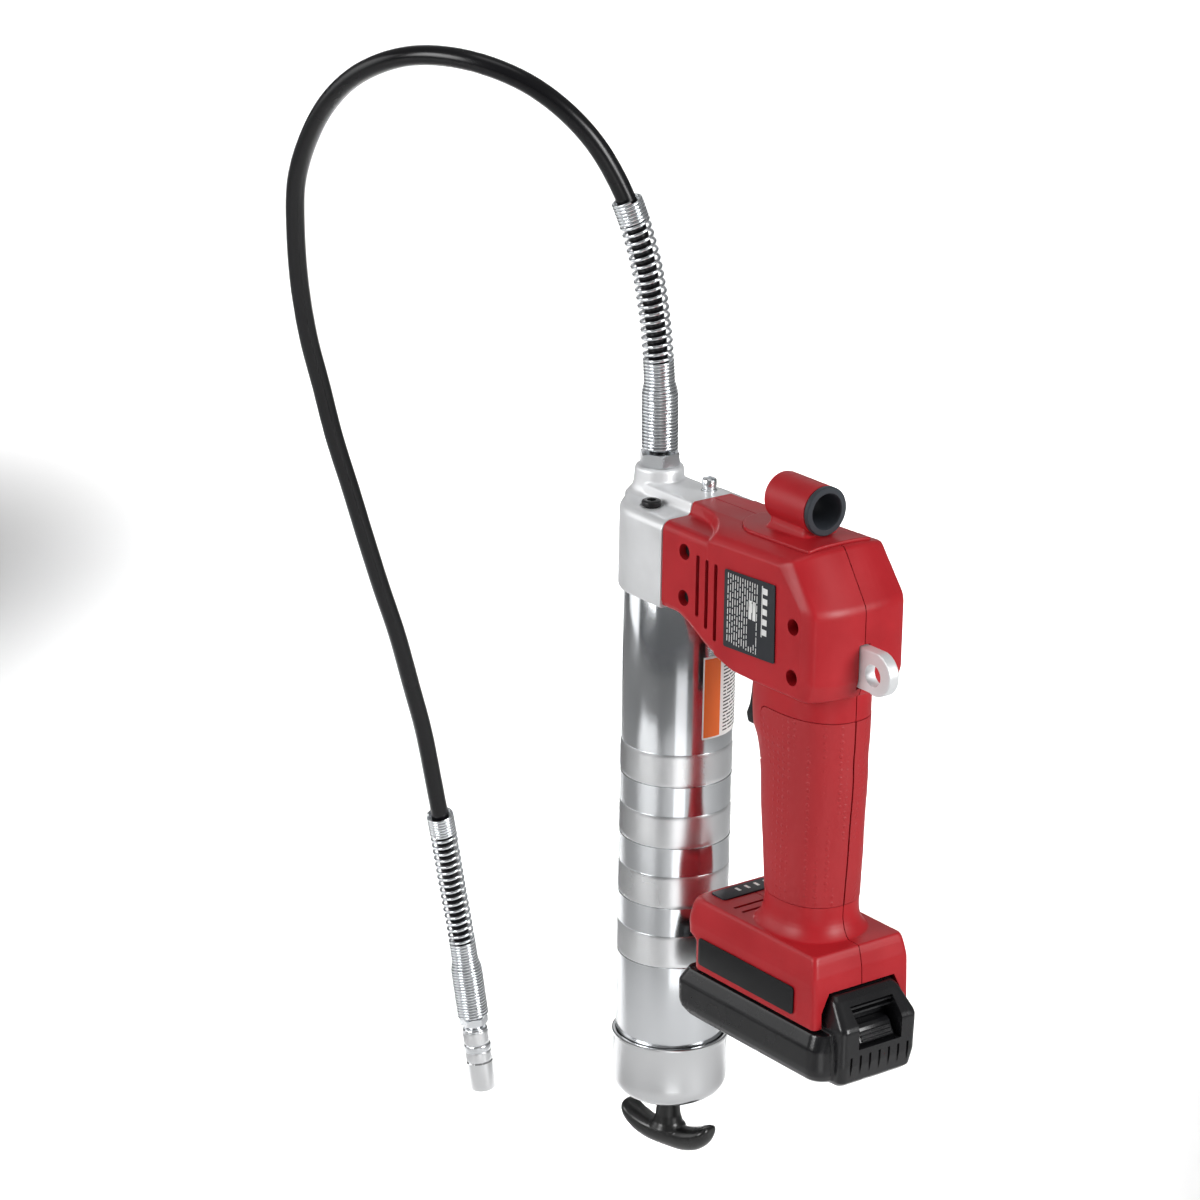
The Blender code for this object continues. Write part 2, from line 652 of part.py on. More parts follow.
def make_screws():
    for side, label in ((-1, "left"), (1, "right")):
        for number, (x, z) in enumerate(SCREW_FRONT, 1):
            profile = [(0, 0), (3.6, 0), (3.6, 2.4), (1.7, 2.4), (1.7, 14), (0, 14)]
            screw = placed(lathe(profile, 16), (x, side * 27.2, z), (0, -side, 0))
            part(f"head_screw_{label}_{number}", screw, "black_oxide")
    for number, (x, z) in enumerate(SCREW_REAR, 1):
        profile = [(0, 0), (3.6, 0), (3.6, 2.7), (1.6, 2.7), (1.6, 24), (0, 24)]
        screw = placed(lathe(profile, 16), (x, -17, z), (0, 1, 0))
        part(f"housing_screw_{number}", screw, "black_oxide")


def make_labels():
    part("spec_label", box((74.5, 113.5), (-HALF - 0.8, -HALF - GAP), (-4, 36.5)), "label_dark")
    for name, side in (("badge_left", -1), ("badge_right", 1)):
        face = sorted((side * (30.5 + GAP), side * 31.4))
        part(name, box((60.7, 135.5), face, (-178.5, -164.2)), "label_dark")
    gauge_z = (FOOT_TOP + GAP, FOOT_TOP + 0.9)
    part("gauge_panel", box((55, 66.5), (-20, 20), gauge_z), "label_dark")
    rings = []
    for i in range(13):
        turn = math.radians(-8 + 124 * i / 12)
        c, s = math.cos(turn), math.sin(turn)
        inner, outer = BARREL_R + GAP + 0.1, BARREL_R + GAP + 0.5
        rings.append([
            (inner * c, inner * s, -74), (outer * c, outer * s, -74),
            (outer * c, outer * s, -42), (inner * c, inner * s, -42),
        ])
    part("barrel_label", loft(rings), "label_light")
    part("control_board", box((56, 96), (-20, 20), (-157, -155.4)), "board_green")
    part("terminal_block", box((60, 68), (-16, 16), (-176, -164)), "black_plastic")


# --- battery ----------------------------------------------------------------------------


def make_battery():
    rings = (
        (BATTERY_END, 55.0, 154.0, 28.5), (-207.5, 49.0, 157.0, 31.4), (-203.0, 44.6, 158.0, 33.0),
        (-191.3, 44.0, 158.0, 33.0), (CASE_TOP, 48.4, 157.0, 30.4),
    )
    case = part(
        "battery_case", loft([rounded(x0, x1, half, z, 9.0) for z, x0, x1, half in rings]),
        "black_plastic", (150, 0, CASE_TOP),
    )
    tower = (
        (-206.0, 142.0, 160.0, 20.0), (-200.0, 142.0, 165.5, 23.5), (-178.0, 142.0, 166.0, 23.8),
        (-167.8, 142.0, 154.0, 19.8), (-165.6, 142.0, 152.6, 19.0),
    )
    add(case, loft([rounded(x0, x1, half, z, 3.0) for z, x0, x1, half in tower]))
    well = box((51.0, 141), (-28.4, 28.4), (BATTERY_END + 3, -150))
    recess = box((153, 175), (-14, 14), (-199, -150))
    latch_pocket = box((147, 158), (-11.6, 11.6), (-196, -180))
    cut(case, well, recess, latch_pocket)

    lid_half = 28.4 - GAP
    lid = part(
        "battery_lid",
        box((51.0 + GAP, 141 - GAP), (-lid_half, lid_half), (CASE_TOP - 3, CASE_TOP)),
        "black_plastic", (150, 0, CASE_TOP),
    )
    add(lid, box((72, 139), (-20, 20), (-185, RAIL_TOP)))
    add(lid, *[box((74, 137), sorted((s * 18, s * 23)), (-179, RAIL_TOP)) for s in (-1, 1)])

    paddle = [
        (149.6, -195.4), (160.4, -195.4), (162.0, -193.6), (159.0, -187.0), (158.4, -182.0),
        (156.6, -180.6), (149.6, -180.6),
    ]
    part("battery_latch", slab(paddle, -11.0, 11.0), "black_plastic", (150, 0, -188))
    for row in range(2):
        for column in range(2):
            x = 51.6 + row * (CELL_LENGTH - 5.6)
            y = (column - 0.5) * 22
            z = BATTERY_END + 3 + CELL_R + 0.5
            cell = bar((x, y, z), (x + CELL_LENGTH - 6.2, y, z), CELL_R)
            part(f"cell_{2 * row + column + 1}", cell, "cell_wrap")


# --- hose and coupler -------------------------------------------------------------------


def smooth_route():
    """Return evenly spaced points on a smooth curve through the route's own points."""
    points = [Vector(p) for p in ROUTE]
    ends = [2 * points[0] - points[1], *points, 2 * points[-1] - points[-2]]
    fine = []
    for a, b, c, d in zip(ends, ends[1:], ends[2:], ends[3:]):
        for i in range(16):
            t = i / 16
            fine.append(0.5 * (
                2 * b + (c - a) * t + (2 * a - 5 * b + 4 * c - d) * t ** 2
                + (3 * b - a - 3 * c + d) * t ** 3
            ))
    fine.append(points[-1])
    return resample(fine, HOSE_STEPS)


def resample(points, steps):
    """Return steps + 1 points at equal distances along a line of points."""
    lengths = [0.0]
    for a, b in zip(points, points[1:]):
        lengths.append(lengths[-1] + (b - a).length)
    return [point_along(points, lengths, lengths[-1] * i / steps) for i in range(steps + 1)]


def point_along(points, lengths, distance):
    """Return the point at a distance along a line of points."""
    k = 1
    while k < len(points) - 1 and lengths[k] < distance:
        k += 1
    share = (distance - lengths[k - 1]) / (lengths[k] - lengths[k - 1])
    return points[k - 1].lerp(points[k], share)


def sleeve(line, stations, sides=14):
    """Return a hollow sleeve round a line of points; a station is (distance, outer, inner)."""
    lengths = [0.0]
    for a, b in zip(line, line[1:]):
        lengths.append(lengths[-1] + (b - a).length)
    outer_rings, inner_rings = [], []
    for distance, outer, inner in stations:
        centre = point_along(line, lengths, distance)
        before = point_along(line, lengths, max(distance - 4, 0.0))
        after = point_along(line, lengths, min(distance + 4, lengths[-1]))
        forward = (after - before).normalized()
        across = forward.cross(Vector((1, 0, 0))).normalized()
        other = forward.cross(across)
        turns = [math.tau * i / sides for i in range(sides)]
        spokes = [math.cos(t) * across + math.sin(t) * other for t in turns]
        outer_rings.append([centre + outer * spoke for spoke in spokes])
        inner_rings.append([centre + inner * spoke for spoke in spokes])
    bm = bmesh.new()
    loops = [[bm.verts.new(p) for p in ring] for ring in outer_rings + inner_rings[::-1]]
    for k, low in enumerate(loops):
        high = loops[(k + 1) % len(loops)]
        for i in range(sides):
            j = (i + 1) % sides
            bm.faces.new((low[i], low[j], high[j], high[i]))
    return bm


def make_hose():
    line = smooth_route()
    length = sum((b - a).length for a, b in zip(line, line[1:]))
    step = length / HOSE_STEPS
    curve = bpy.data.curves.new("hose", "CURVE")
    curve.dimensions = "3D"
    curve.bevel_depth = HOSE_R * MM
    curve.bevel_resolution = 3
    curve.use_fill_caps = True
    spline = curve.splines.new("POLY")
    spline.points.add(len(line) - 1)
    for point, place in zip(spline.points, line):
        point.co = (*(place * MM), 1.0)
    curve.materials.append(material("hose_black"))
    link("hose", curve)

    wide = [(0.5, 9.4, 7.8), (30, 9.4, 7.8), (36, 8.0, 6.0)]
    knots = [k * step for k in range(2, GUARD_STEPS + 1)]
    head_guard = wide + [(s, 8.0, 6.0) for s in knots]
    end_guard = [(length - s, outer, inner) for s, outer, inner in reversed(head_guard)]
    part("hose_guard_head", sleeve(line, head_guard), "bright_steel")
    part("hose_guard_end", sleeve(line, end_guard), "bright_steel")
    crimp = [(0.8, 7.3, 5.4), (step, 7.3, 5.4), (27, 7.3, 5.4)]
    end_crimp = [(length - s, outer, inner) for s, outer, inner in reversed(crimp)]
    part("hose_ferrule_head", sleeve(line, crimp), "bright_steel")
    part("hose_ferrule_end", sleeve(line, end_crimp), "bright_steel")
    make_coupler(line[-1], (line[-1] - line[-2]).normalized())


def make_coupler(end, forward):
    def turned(name, profile, sides=28, ring=True, slot="bright_steel"):
        return part(name, placed(lathe(profile, sides, ring), end, forward), slot)

    adapter = turned("coupler_adapter", [(8.2, 0.4), (8.2, 5.0), (1.5, 5.0), (1.5, 0.4)], 6)
    neck = lathe([(5.0, 4), (5.0, 12), (1.5, 12), (1.5, 4)], 24, ring=True)
    add(adapter, placed(neck, end, forward))
    body = [
        (7.0, 7.0), (7.6, 8.0), (7.6, 17.0), (8.0, 18.0), (8.0, 20.5), (7.6, 21.5),
        (7.6, 28.0), (5.6, 28.0), (5.6, 34.0), (2.0, 34.0), (2.0, 12.4), (5.3, 12.4), (5.3, 7.0),
    ]
    turned("coupler_body", body)
    shell = [
        (7.9, 28.3), (7.9, 45.5), (7.2, 46.5), (4.6, 46.5), (5.2, 44.0), (5.9, 42.0), (5.9, 28.3),
    ]
    turned("coupler_sleeve", shell)
    for number in range(3):
        jaw = lathe([(2.6, 34.4), (5.5, 34.4), (5.5, 42.0), (4.4, 45.6), (2.6, 45.6)], 24, ring=True)
        bmesh.ops.bisect_plane(
            jaw, geom=[*jaw.verts, *jaw.edges, *jaw.faces], plane_co=(0, 0.25, 0),
            plane_no=(0, -1, 0), clear_outer=True,
        )
        normal = (math.sin(math.radians(115)), -math.cos(math.radians(115)), 0)
        bmesh.ops.bisect_plane(
            jaw, geom=[*jaw.verts, *jaw.edges, *jaw.faces], plane_co=(0, 0, 0),
            plane_no=tuple(-n for n in normal), clear_outer=True,
        )
        bmesh.ops.holes_fill(jaw, edges=[e for e in jaw.edges if e.is_boundary])
        spin = Matrix.Rotation(math.radians(120 * number), 3, "Z")
        bmesh.ops.rotate(jaw, cent=(0, 0, 0), matrix=spin, verts=jaw.verts)
        part(f"coupler_jaw_{number + 1}", placed(jaw, end, forward), "black_oxide")


def main():
    for old in list(bpy.data.objects):
        bpy.data.objects.remove(old)
    make_barrel()
    make_end_cap()
    make_follower()
    make_rod()
    make_pump_head()
    make_head_fittings()
    make_drive()
    make_housing("housing_left", -1)
    make_housing("housing_right", 1)
    make_grip_pads()
    make_hose_holder()
    make_strap_eye()
    make_trigger()
    make_screws()
    make_labels()
    make_battery()
    make_hose()


main()
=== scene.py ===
"""Finished look of a cordless grease gun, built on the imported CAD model.

Sizes are in millimetres until a mesh is made. +Z runs up the barrel, +X rearward to the grip,
and -Y is the gun's left side.
"""

import math
import random

import bmesh
import bpy
from mathutils import Matrix, Vector


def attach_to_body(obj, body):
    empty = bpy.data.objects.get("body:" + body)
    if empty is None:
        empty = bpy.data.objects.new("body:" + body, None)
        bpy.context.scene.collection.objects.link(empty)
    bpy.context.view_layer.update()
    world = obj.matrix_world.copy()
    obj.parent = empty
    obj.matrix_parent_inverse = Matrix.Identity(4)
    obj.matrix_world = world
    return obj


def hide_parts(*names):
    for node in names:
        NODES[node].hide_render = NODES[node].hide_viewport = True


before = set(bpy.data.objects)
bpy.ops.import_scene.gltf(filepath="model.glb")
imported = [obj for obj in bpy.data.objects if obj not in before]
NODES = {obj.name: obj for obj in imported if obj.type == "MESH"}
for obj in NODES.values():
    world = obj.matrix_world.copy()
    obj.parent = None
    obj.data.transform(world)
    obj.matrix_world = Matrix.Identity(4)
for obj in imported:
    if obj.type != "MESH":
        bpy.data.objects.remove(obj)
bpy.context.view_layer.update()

MM = 0.001

# Camera
CAMERA_AT = (1.5875, -1.2579, 0.6917)
CAMERA_RIGHT = (0.60101, 0.79909, 0.01536)
CAMERA_UP = (-0.27013, 0.18500, 0.94488)
CAMERA_BACK = (0.75221, -0.57204, 0.32704)
CAMERA_LENS = 127.4
SENSOR = 36.0

# Studio
FLOOR = -0.62
FLOOR_HALF = 6.0
WORLD_POWER = 0.24

# Barrel and end cap
BARREL_R = 28.6
BARREL_TOP = 22.0
BARREL_END = -258.0
BAND_TOPS = (-82.0, -115.5, -148.5, -181.5)
BAND_HEIGHT = 17.0
BAND_DEPTH = 0.4
BARREL_BORE = 27.0
CAP_R = 30.0
CAP_TOP = -244.0
CAP_END = -280.0
HANDLE_TURN = math.radians(15)

# Pump head
HEAD_R = 31.5
HEAD_TOP = 45.5
HEAD_REAR = 23.7
RIB_TOP = 51.8
RIB_HALF = 12.5
BOSS_X = -19.0
BOSS_TOP = 58.6
PLUG_AT = (0.5, -19.8)
VALVE_AT = (12.0, 7.5)

# Housing
WALL = 2.5
HALF = 31.0
SPLIT = 0.25
SCREW_BOSS_R = 5.7
SCREW_HEAD_R = 4.1
SCREW_BORE_R = 2.0
SCREW_FRONT = ((41.7, 34.5), (41.7, 10.6))
SCREW_REAR = ((126.2, 19.9), (126.2, -5.7))
VENTS = ((52.4, 35.7, 4.0), (59.6, 35.3, -0.4), (66.7, 35.0, -4.7))
EYE_AT = (154.5, -1.5)
HOLDER_Z = 68.3
HOLDER_R = 12.3
HOLDER_X = (77.5, 109.0)
HOLDER_PINS = (84, 104)
FOOT_TOP = -145.0
FOOT_END = -182.2
PAD_TOP = -31.0
PAD_END = -128.0
GRIP = (
    # height, centre x, half depth, half width
    (6.0, 107.0, 30.0, 22.0),
    (-17.0, 105.5, 33.0, 23.0),
    (-44.0, 105.5, 33.0, 22.6),
    (-52.0, 107.0, 31.0, 21.8),
    (-65.0, 108.6, 29.6, 21.4),
    (-87.0, 108.9, 28.0, 21.3),
    (-106.0, 109.7, 26.3, 21.3),
    (-126.0, 110.2, 24.4, 21.3),
    (-135.0, 110.2, 24.2, 21.2),
    (-140.0, 110.2, 25.4, 22.3),
    (-143.4, 110.2, 27.4, 24.2),
    (-146.5, 110.2, 30.2, 26.8),
)

# Battery
BATTERY_END = -211.0
CASE_TOP = -184.0

# Hose: the route of its centre line, from the outlet to the coupler
HOSE_R = 5.0
WIRE_R = 0.85
TURN_STEPS = 20
ROUTE = (
    (-19, 0, 66), (-19, -1, 100), (-20, -4, 134), (-21, -11, 168), (-25, -22, 201),
    (-33, -38, 230), (-49, -58, 252), (-73, -78, 263), (-104, -92, 262), (-135, -100, 250),
    (-162, -102, 231), (-185, -100, 207), (-205, -95, 179), (-220, -86, 148),
    (-232, -76, 116), (-241, -65, 84), (-247, -53, 53), (-251, -42, 21), (-254, -30, -10),
    (-257, -18, -42), (-260, -6, -73), (-263, 7, -105), (-267, 19, -138), (-270, 30, -170),
    (-273, 39, -203), (-275, 47, -236), (-276, 54, -270), (-275, 60, -303),
    (-272, 64, -337), (-270, 66, -357),
)


# Shader helpers


def new_material(name, colour, rough, metal=0.0, coat=0.0, gloss=0.5):
    """Return a material, its tree and its shader, with the plain values set."""
    made = bpy.data.materials.new(name)
    made.use_nodes = True
    tree = made.node_tree
    shader = tree.nodes["Principled BSDF"]
    values = {
        "Base Color": (*colour, 1.0), "Roughness": rough, "Metallic": metal,
        "Specular IOR Level": gloss, "Coat Weight": coat, "Coat Roughness": 0.12,
    }
    for key, value in values.items():
        shader.inputs[key].default_value = value
    return made, tree, shader


def add_node(tree, kind, **inputs):
    """Add a node. An input that is given another node's output is linked, any other is set."""
    made = tree.nodes.new("ShaderNode" + kind)
    for name, value in inputs.items():
        socket = made.inputs[name.replace("_", " ")]
        if isinstance(value, bpy.types.NodeSocket):
            tree.links.new(value, socket)
        else:
            socket.default_value = value
    return made


def noise(tree, scale, stretch=(1, 1, 1), detail=3.0):
    """Return a noise texture's output on the object's own coordinates."""
    where = add_node(tree, "TexCoord").outputs["Object"]
    spread = add_node(tree, "Mapping", Scale=stretch, Vector=where).outputs["Vector"]
    return add_node(tree, "TexNoise", Scale=scale, Detail=detail, Vector=spread).outputs["Fac"]


def mapped(tree, value, low, high, to_low, to_high):
    """Return a value moved from one range to another."""
    node = add_node(
        tree, "MapRange", From_Min=low, From_Max=high, To_Min=to_low, To_Max=to_high, Value=value
    )
    return node.outputs["Result"]


def tinted(tree, value, dark, light, start=0.3, end=0.7):
    """Return a colour between two, chosen by a value."""
    node = add_node(tree, "ValToRGB", Fac=value)
    for element, colour, place in zip(node.color_ramp.elements, (dark, light), (start, end)):
        element.color = (*colour, 1.0)
        element.position = place
    return node.outputs["Color"]


def bump(tree, shader, value, strength, distance):
    """Raise the surface by a value."""
    node = add_node(tree, "Bump", Strength=strength, Distance=distance, Height=value)
    tree.links.new(node.outputs["Normal"], shader.inputs["Normal"])


def mottled(tree, shader, value, rough, less, more, dark, light):
    """Let a value vary the roughness and the colour."""
    tree.links.new(mapped(tree, value, 0.3, 0.7, rough - less, rough + more), shader.inputs["Roughness"])
    tree.links.new(tinted(tree, value, dark, light), shader.inputs["Base Color"])


def shaded(colour, share):
    """Return a colour made lighter or darker."""
    return tuple(min(channel * share, 1.0) for channel in colour)


def grained(
    name, colour, rough, metal=0.0, coat=0.0, gloss=0.5, grain=1400, depth=0.00004, vary=0.06
):
    """Return a material with a fine grain in its height, roughness and colour."""
    made, tree, shader = new_material(name, colour, rough, metal, coat, gloss)
    bump(tree, shader, noise(tree, grain), 0.35, depth)
    wide = noise(tree, grain / 40, detail=4.0)
    mottled(tree, shader, wide, rough, vary, vary, shaded(colour, 0.93), shaded(colour, 1.06))
    return made


def dotted(name, colour, rough):
    """Return soft grip rubber with rows of small raised dots."""
    made, tree, shader = new_material(name, colour, rough)
    where = add_node(tree, "TexCoord").outputs["Object"]
    cells = add_node(tree, "TexVoronoi", Scale=270.0, Randomness=0.12, Vector=where)
    dots = mapped(tree, cells.outputs["Distance"], 0.16, 0.3, 1.0, 0.0)
    total = tree.nodes.new("ShaderNodeMath")
    total.operation = "MULTIPLY_ADD"
    total.inputs[1].default_value = 0.25
    tree.links.new(noise(tree, 2200), total.inputs[0])
    tree.links.new(dots, total.inputs[2])
    bump(tree, shader, total.outputs["Value"], 0.8, 0.00025)
    wide = noise(tree, 30, detail=4.0)
    mottled(tree, shader, wide, rough, 0.05, 0.05, colour, shaded(colour, 1.08))
    return made


def drawn_steel(name, colour, rough):
    """Return bright steel with faint lines drawn along its length and a little mottling."""
    made, tree, shader = new_material(name, colour, rough, 1.0)
    lines = noise(tree, 260, (1.0, 1.0, 0.02), 6.0)
    mottle = noise(tree, 60, (1.0, 1.0, 0.6), 5.0)
    bump(tree, shader, lines, 0.12, 0.00003)
    mottled(tree, shader, mottle, rough, 0.05, 0.06, shaded(colour, 0.94), colour)
    return made


def make_materials():
    return {
        "red": grained("red_shell", (0.42, 0.012, 0.018), 0.4, gloss=0.35, grain=1700),
        "grip": dotted("red_grip", (0.38, 0.01, 0.015), 0.5),
        "alloy": grained("cast_alloy", (0.8, 0.81, 0.82), 0.44, 0.45, grain=1500, depth=0.00006),
        "barrel": drawn_steel("barrel_steel", (0.76, 0.78, 0.8), 0.15),
        "cap": drawn_steel("cap_steel", (0.74, 0.75, 0.76), 0.2),
        "knurl": grained("knurl_steel", (0.88, 0.89, 0.9), 0.32, 1.0, grain=900),
        "steel": grained("plated_steel", (0.78, 0.8, 0.82), 0.24, 1.0, grain=800, depth=0.00002),
        "chrome": grained("chrome_sleeve", (0.86, 0.87, 0.88), 0.1, 1.0, grain=500, vary=0.03),
        "oxide": grained("black_oxide", (0.025, 0.025, 0.026), 0.36, 0.5, grain=1200),
        "black": grained("satin_black", (0.008, 0.008, 0.009), 0.27, coat=0.15, gloss=0.4, grain=1500),
        "handle": grained("handle_black", (0.008, 0.008, 0.008), 0.3, coat=0.2, gloss=0.4, grain=1200),
        "hose": grained("hose_cover", (0.004, 0.004, 0.005), 0.24, gloss=0.4, grain=900, depth=0.00002),
        "rubber": grained("grey_rubber", (0.03, 0.035, 0.043), 0.5, gloss=0.4, grain=1600),
        "seal": grained("seal_rubber", (0.02, 0.02, 0.02), 0.7, grain=1300),
        "dark": grained("label_dark", (0.026, 0.028, 0.033), 0.42, gloss=0.3, grain=700, depth=0.00001),
        "plaque": grained("badge_black", (0.006, 0.006, 0.007), 0.4, gloss=0.3, grain=700, depth=0.00001),
        "ink": grained("label_ink", (0.75, 0.75, 0.74), 0.5, grain=700, depth=0.00001),
        "paper": grained("label_light", (0.82, 0.82, 0.8), 0.4, grain=500, depth=0.00001),
        "orange": grained("label_orange", (0.85, 0.16, 0.02), 0.4, grain=500, depth=0.00001),
        "board": grained("board_green", (0.02, 0.12, 0.06), 0.45, grain=600),
        "wrap": grained("cell_wrap", (0.05, 0.15, 0.35), 0.35, grain=600),
        "lens": grained("lamp_white", (0.8, 0.8, 0.78), 0.3, grain=600),
    }


LOOK = make_materials()


# Mesh helpers


def box(x, y, z):
    """Return a box from its (low, high) pairs."""
    bm = bmesh.new()
    size = Vector((x[1] - x[0], y[1] - y[0], z[1] - z[0]))
    middle = Vector((x[0] + x[1], y[0] + y[1], z[0] + z[1])) / 2
    bmesh.ops.create_cube(bm, matrix=Matrix.Translation(middle) @ Matrix.Diagonal((*size, 1)))
    return bm


def stance(at, along):
    """Return the matrix that turns +Z along a direction and then moves to a place."""
    turn = Vector((0, 0, 1)).rotation_difference(Vector(along)).to_matrix().to_4x4()
    return Matrix.Translation(Vector(at)) @ turn


def placed(bm, at, along=(0, 0, 1)):
    """Turn a solid so that its +Z runs along a direction, and move it."""
    bmesh.ops.transform(bm, matrix=stance(at, along), verts=bm.verts)
    return bm


def bar(start, end, radius, sides=48, end_radius=None):
    """Return a round or polygonal bar between two points."""
    run = Vector(end) - Vector(start)
    bm = bmesh.new()
    up = Matrix.Translation((0, 0, run.length / 2))
    bmesh.ops.create_cone(
        bm, cap_ends=True, segments=sides, radius1=radius,
        radius2=radius if end_radius is None else end_radius, depth=run.length, matrix=up,
    )
    return placed(bm, start, run)


def lathe(profile, sides=96, ring=False):
    """Spin an (r, z) profile round Z. A ring's profile is a closed loop off the axis."""
    bm = bmesh.new()
    verts = [bm.verts.new((r, 0, z)) for r, z in profile]
    edges = [bm.edges.new(pair) for pair in zip(verts, verts[1:])]
    if ring:
        edges.append(bm.edges.new((verts[-1], verts[0])))
    bmesh.ops.spin(
        bm, geom=verts + edges, cent=(0, 0, 0), axis=(0, 0, 1), angle=math.tau,
        steps=sides, use_merge=True,
    )
    bmesh.ops.remove_doubles(bm, verts=bm.verts, dist=0.002)
    return bm


def ring_loops(bm, rings):
    return [[bm.verts.new(point) for point in ring] for ring in rings]


def skin(bm, low, high):
    """Join two loops of vertices with a band of faces."""
    for i in range(len(low)):
        j = (i + 1) % len(low)
        bm.faces.new((low[i], low[j], high[j], high[i]))


def loft(rings):
    """Skin a row of rings that have the same number of points, and close both ends."""
    bm = bmesh.new()
    loops = ring_loops(bm, rings)
    for low, high in zip(loops, loops[1:]):
        skin(bm, low, high)
    bm.faces.new(loops[0][::-1])
    bm.faces.new(loops[-1])
    return bm


def hoop(rings):
    """Skin a row of rings whose last one joins the first, as round the wall of a tube."""
    bm = bmesh.new()
    loops = ring_loops(bm, rings)
    for low, high in zip(loops, loops[1:] + loops[:1]):
        skin(bm, low, high)
    return bm


def circle(radii, z):
    """Return a ring at a height, with a radius for each of its points."""
    ring = []
    for i, radius in enumerate(radii):
        turn = math.tau * i / len(radii)
        ring.append((radius * math.cos(turn), radius * math.sin(turn), z))
    return ring


def joined(solids):
    """Put several solids into one bmesh."""
    bm = bmesh.new()
    for solid in solids:
        mesh = bpy.data.meshes.new("part")
        solid.to_mesh(mesh)
        solid.free()
        bm.from_mesh(mesh)
        bpy.data.meshes.remove(mesh)
    return bm


def slab(outline, y0, y1):
    """Return an (x, z) outline extruded along Y."""
    return loft([[(x, y, z) for x, z in outline] for y in (y0, y1)])


def rounded(x0, x1, half, z, radius, front=None, steps=8):
    """Return a rounded rectangle at a height; front is the radius of its corners at x0."""
    points = []
    fore = radius if front is None else front
    corners = (
        (x1, half, 0, radius), (x0, half, 90, fore), (x0, -half, 180, fore), (x1, -half, 270, radius),
    )
    for x, y, start, bend in corners:
        cx = x - math.copysign(bend, x - (x0 + x1) / 2)
        cy = y - math.copysign(bend, y)
        for i in range(steps + 1):
            turn = math.radians(start + 90 * i / steps)
            points.append((cx + bend * math.cos(turn), cy + bend * math.sin(turn), z))
    return points


def oval(cx, a, b, z, sides=96, power=2.3):
    """Return a superellipse at a height."""
    points = []
    for i in range(sides):
        turn = math.tau * i / sides
        c, s = math.cos(turn), math.sin(turn)
        x = cx + math.copysign(a * abs(c) ** (2 / power), c)
        y = math.copysign(b * abs(s) ** (2 / power), s)
        points.append((x, y, z))
    return points


def filleted(points, radii, steps=6):
    """Return a polygon with its corners rounded."""
    out = []
    count = len(points)
    for i in range(count):
        here = Vector(points[i])
        back = Vector(points[i - 1]) - here
        on = Vector(points[(i + 1) % count]) - here
        angle = back.angle(on)
        reach = min(radii[i] / math.tan(angle / 2), back.length * 0.48, on.length * 0.48)
        first = here + back.normalized() * reach
        last = here + on.normalized() * reach
        for k in range(steps + 1):
            t = k / steps
            out.append((1 - t) ** 2 * first + 2 * t * (1 - t) * here + t * t * last)
    return [tuple(p) for p in out]


def blended(rows, step):
    """Return rows of numbers at finer heights, on a smooth curve through the given rows."""
    out = []
    for k in range(len(rows) - 1):
        before = rows[max(k - 1, 0)]
        low, high = rows[k], rows[k + 1]
        after = rows[min(k + 2, len(rows) - 1)]
        span = high[0] - low[0]
        count = max(1, round(abs(span) / step))
        for i in range(count):
            t = i / count
            row = [low[0] + span * t]
            for c in range(1, len(low)):
                slope_low = (high[c] - before[c]) / (high[0] - before[0])
                slope_high = (after[c] - low[c]) / (after[0] - low[0])
                h1 = 2 * t ** 3 - 3 * t ** 2 + 1
                h2 = t ** 3 - 2 * t ** 2 + t
                h3 = 3 * t ** 2 - 2 * t ** 3
                h4 = t ** 3 - t ** 2
                value = h1 * low[c] + h2 * span * slope_low + h3 * high[c] + h4 * span * slope_high
                row.append(value)
            out.append(tuple(row))
    out.append(tuple(rows[-1]))
    return out


def add(name, data):
    """Make an object of its data and put it in the scene."""
    made = bpy.data.objects.new(name, data)
    bpy.context.scene.collection.objects.link(made)
    return made


def raw(name, bm):
    """Make an object in metres of a bmesh in millimetres, which is freed."""
    bmesh.ops.recalc_face_normals(bm, faces=bm.faces)
    bmesh.ops.scale(bm, vec=(MM, MM, MM), verts=bm.verts)
    mesh = bpy.data.meshes.new(name)
    bm.to_mesh(mesh)
    bm.free()
    return add(name, mesh)


def settle(obj):
    """Apply an object's modifiers and remove the guides that they used."""
    guides = [m.object for m in obj.modifiers if m.type == "BOOLEAN"]
    graph = bpy.context.evaluated_depsgraph_get()
    mesh = bpy.data.meshes.new_from_object(obj.evaluated_get(graph))
    obj.modifiers.clear()
    obj.data = mesh
    for guide in guides:
        bpy.data.objects.remove(guide)
    return obj


def combine(obj, operation, *solids):
    """Add, cut or keep what the solids cover."""
    for solid in solids:
        guide = solid if isinstance(solid, bpy.types.Object) else raw("guide", solid)
        modifier = obj.modifiers.new(operation, "BOOLEAN")
        modifier.operation = operation
        modifier.object = guide
        modifier.solver = "MANIFOLD"
    return settle(obj)


def cut(obj, *solids):
    return combine(obj, "DIFFERENCE", *solids)


def moulded(name, solids, voxel, rounds):
    """Melt solids into one body with soft edges."""
    obj = raw(name, joined(solids))
    melt = obj.modifiers.new("Remesh", "REMESH")
    melt.mode = "VOXEL"
    melt.voxel_size = voxel * MM
    ease = obj.modifiers.new("Smooth", "SMOOTH")
    ease.factor = 0.5
    ease.iterations = rounds
    return settle(obj)


def attach(obj, body, slot, *nodes):
    """Put a piece on its body and say which CAD nodes it replaces; its slot is not used."""
    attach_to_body(obj, body)
    if nodes:
        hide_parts(*nodes)
    return obj


def paint(obj, look):
    obj.data.materials.clear()
    obj.data.materials.append(LOOK[look])


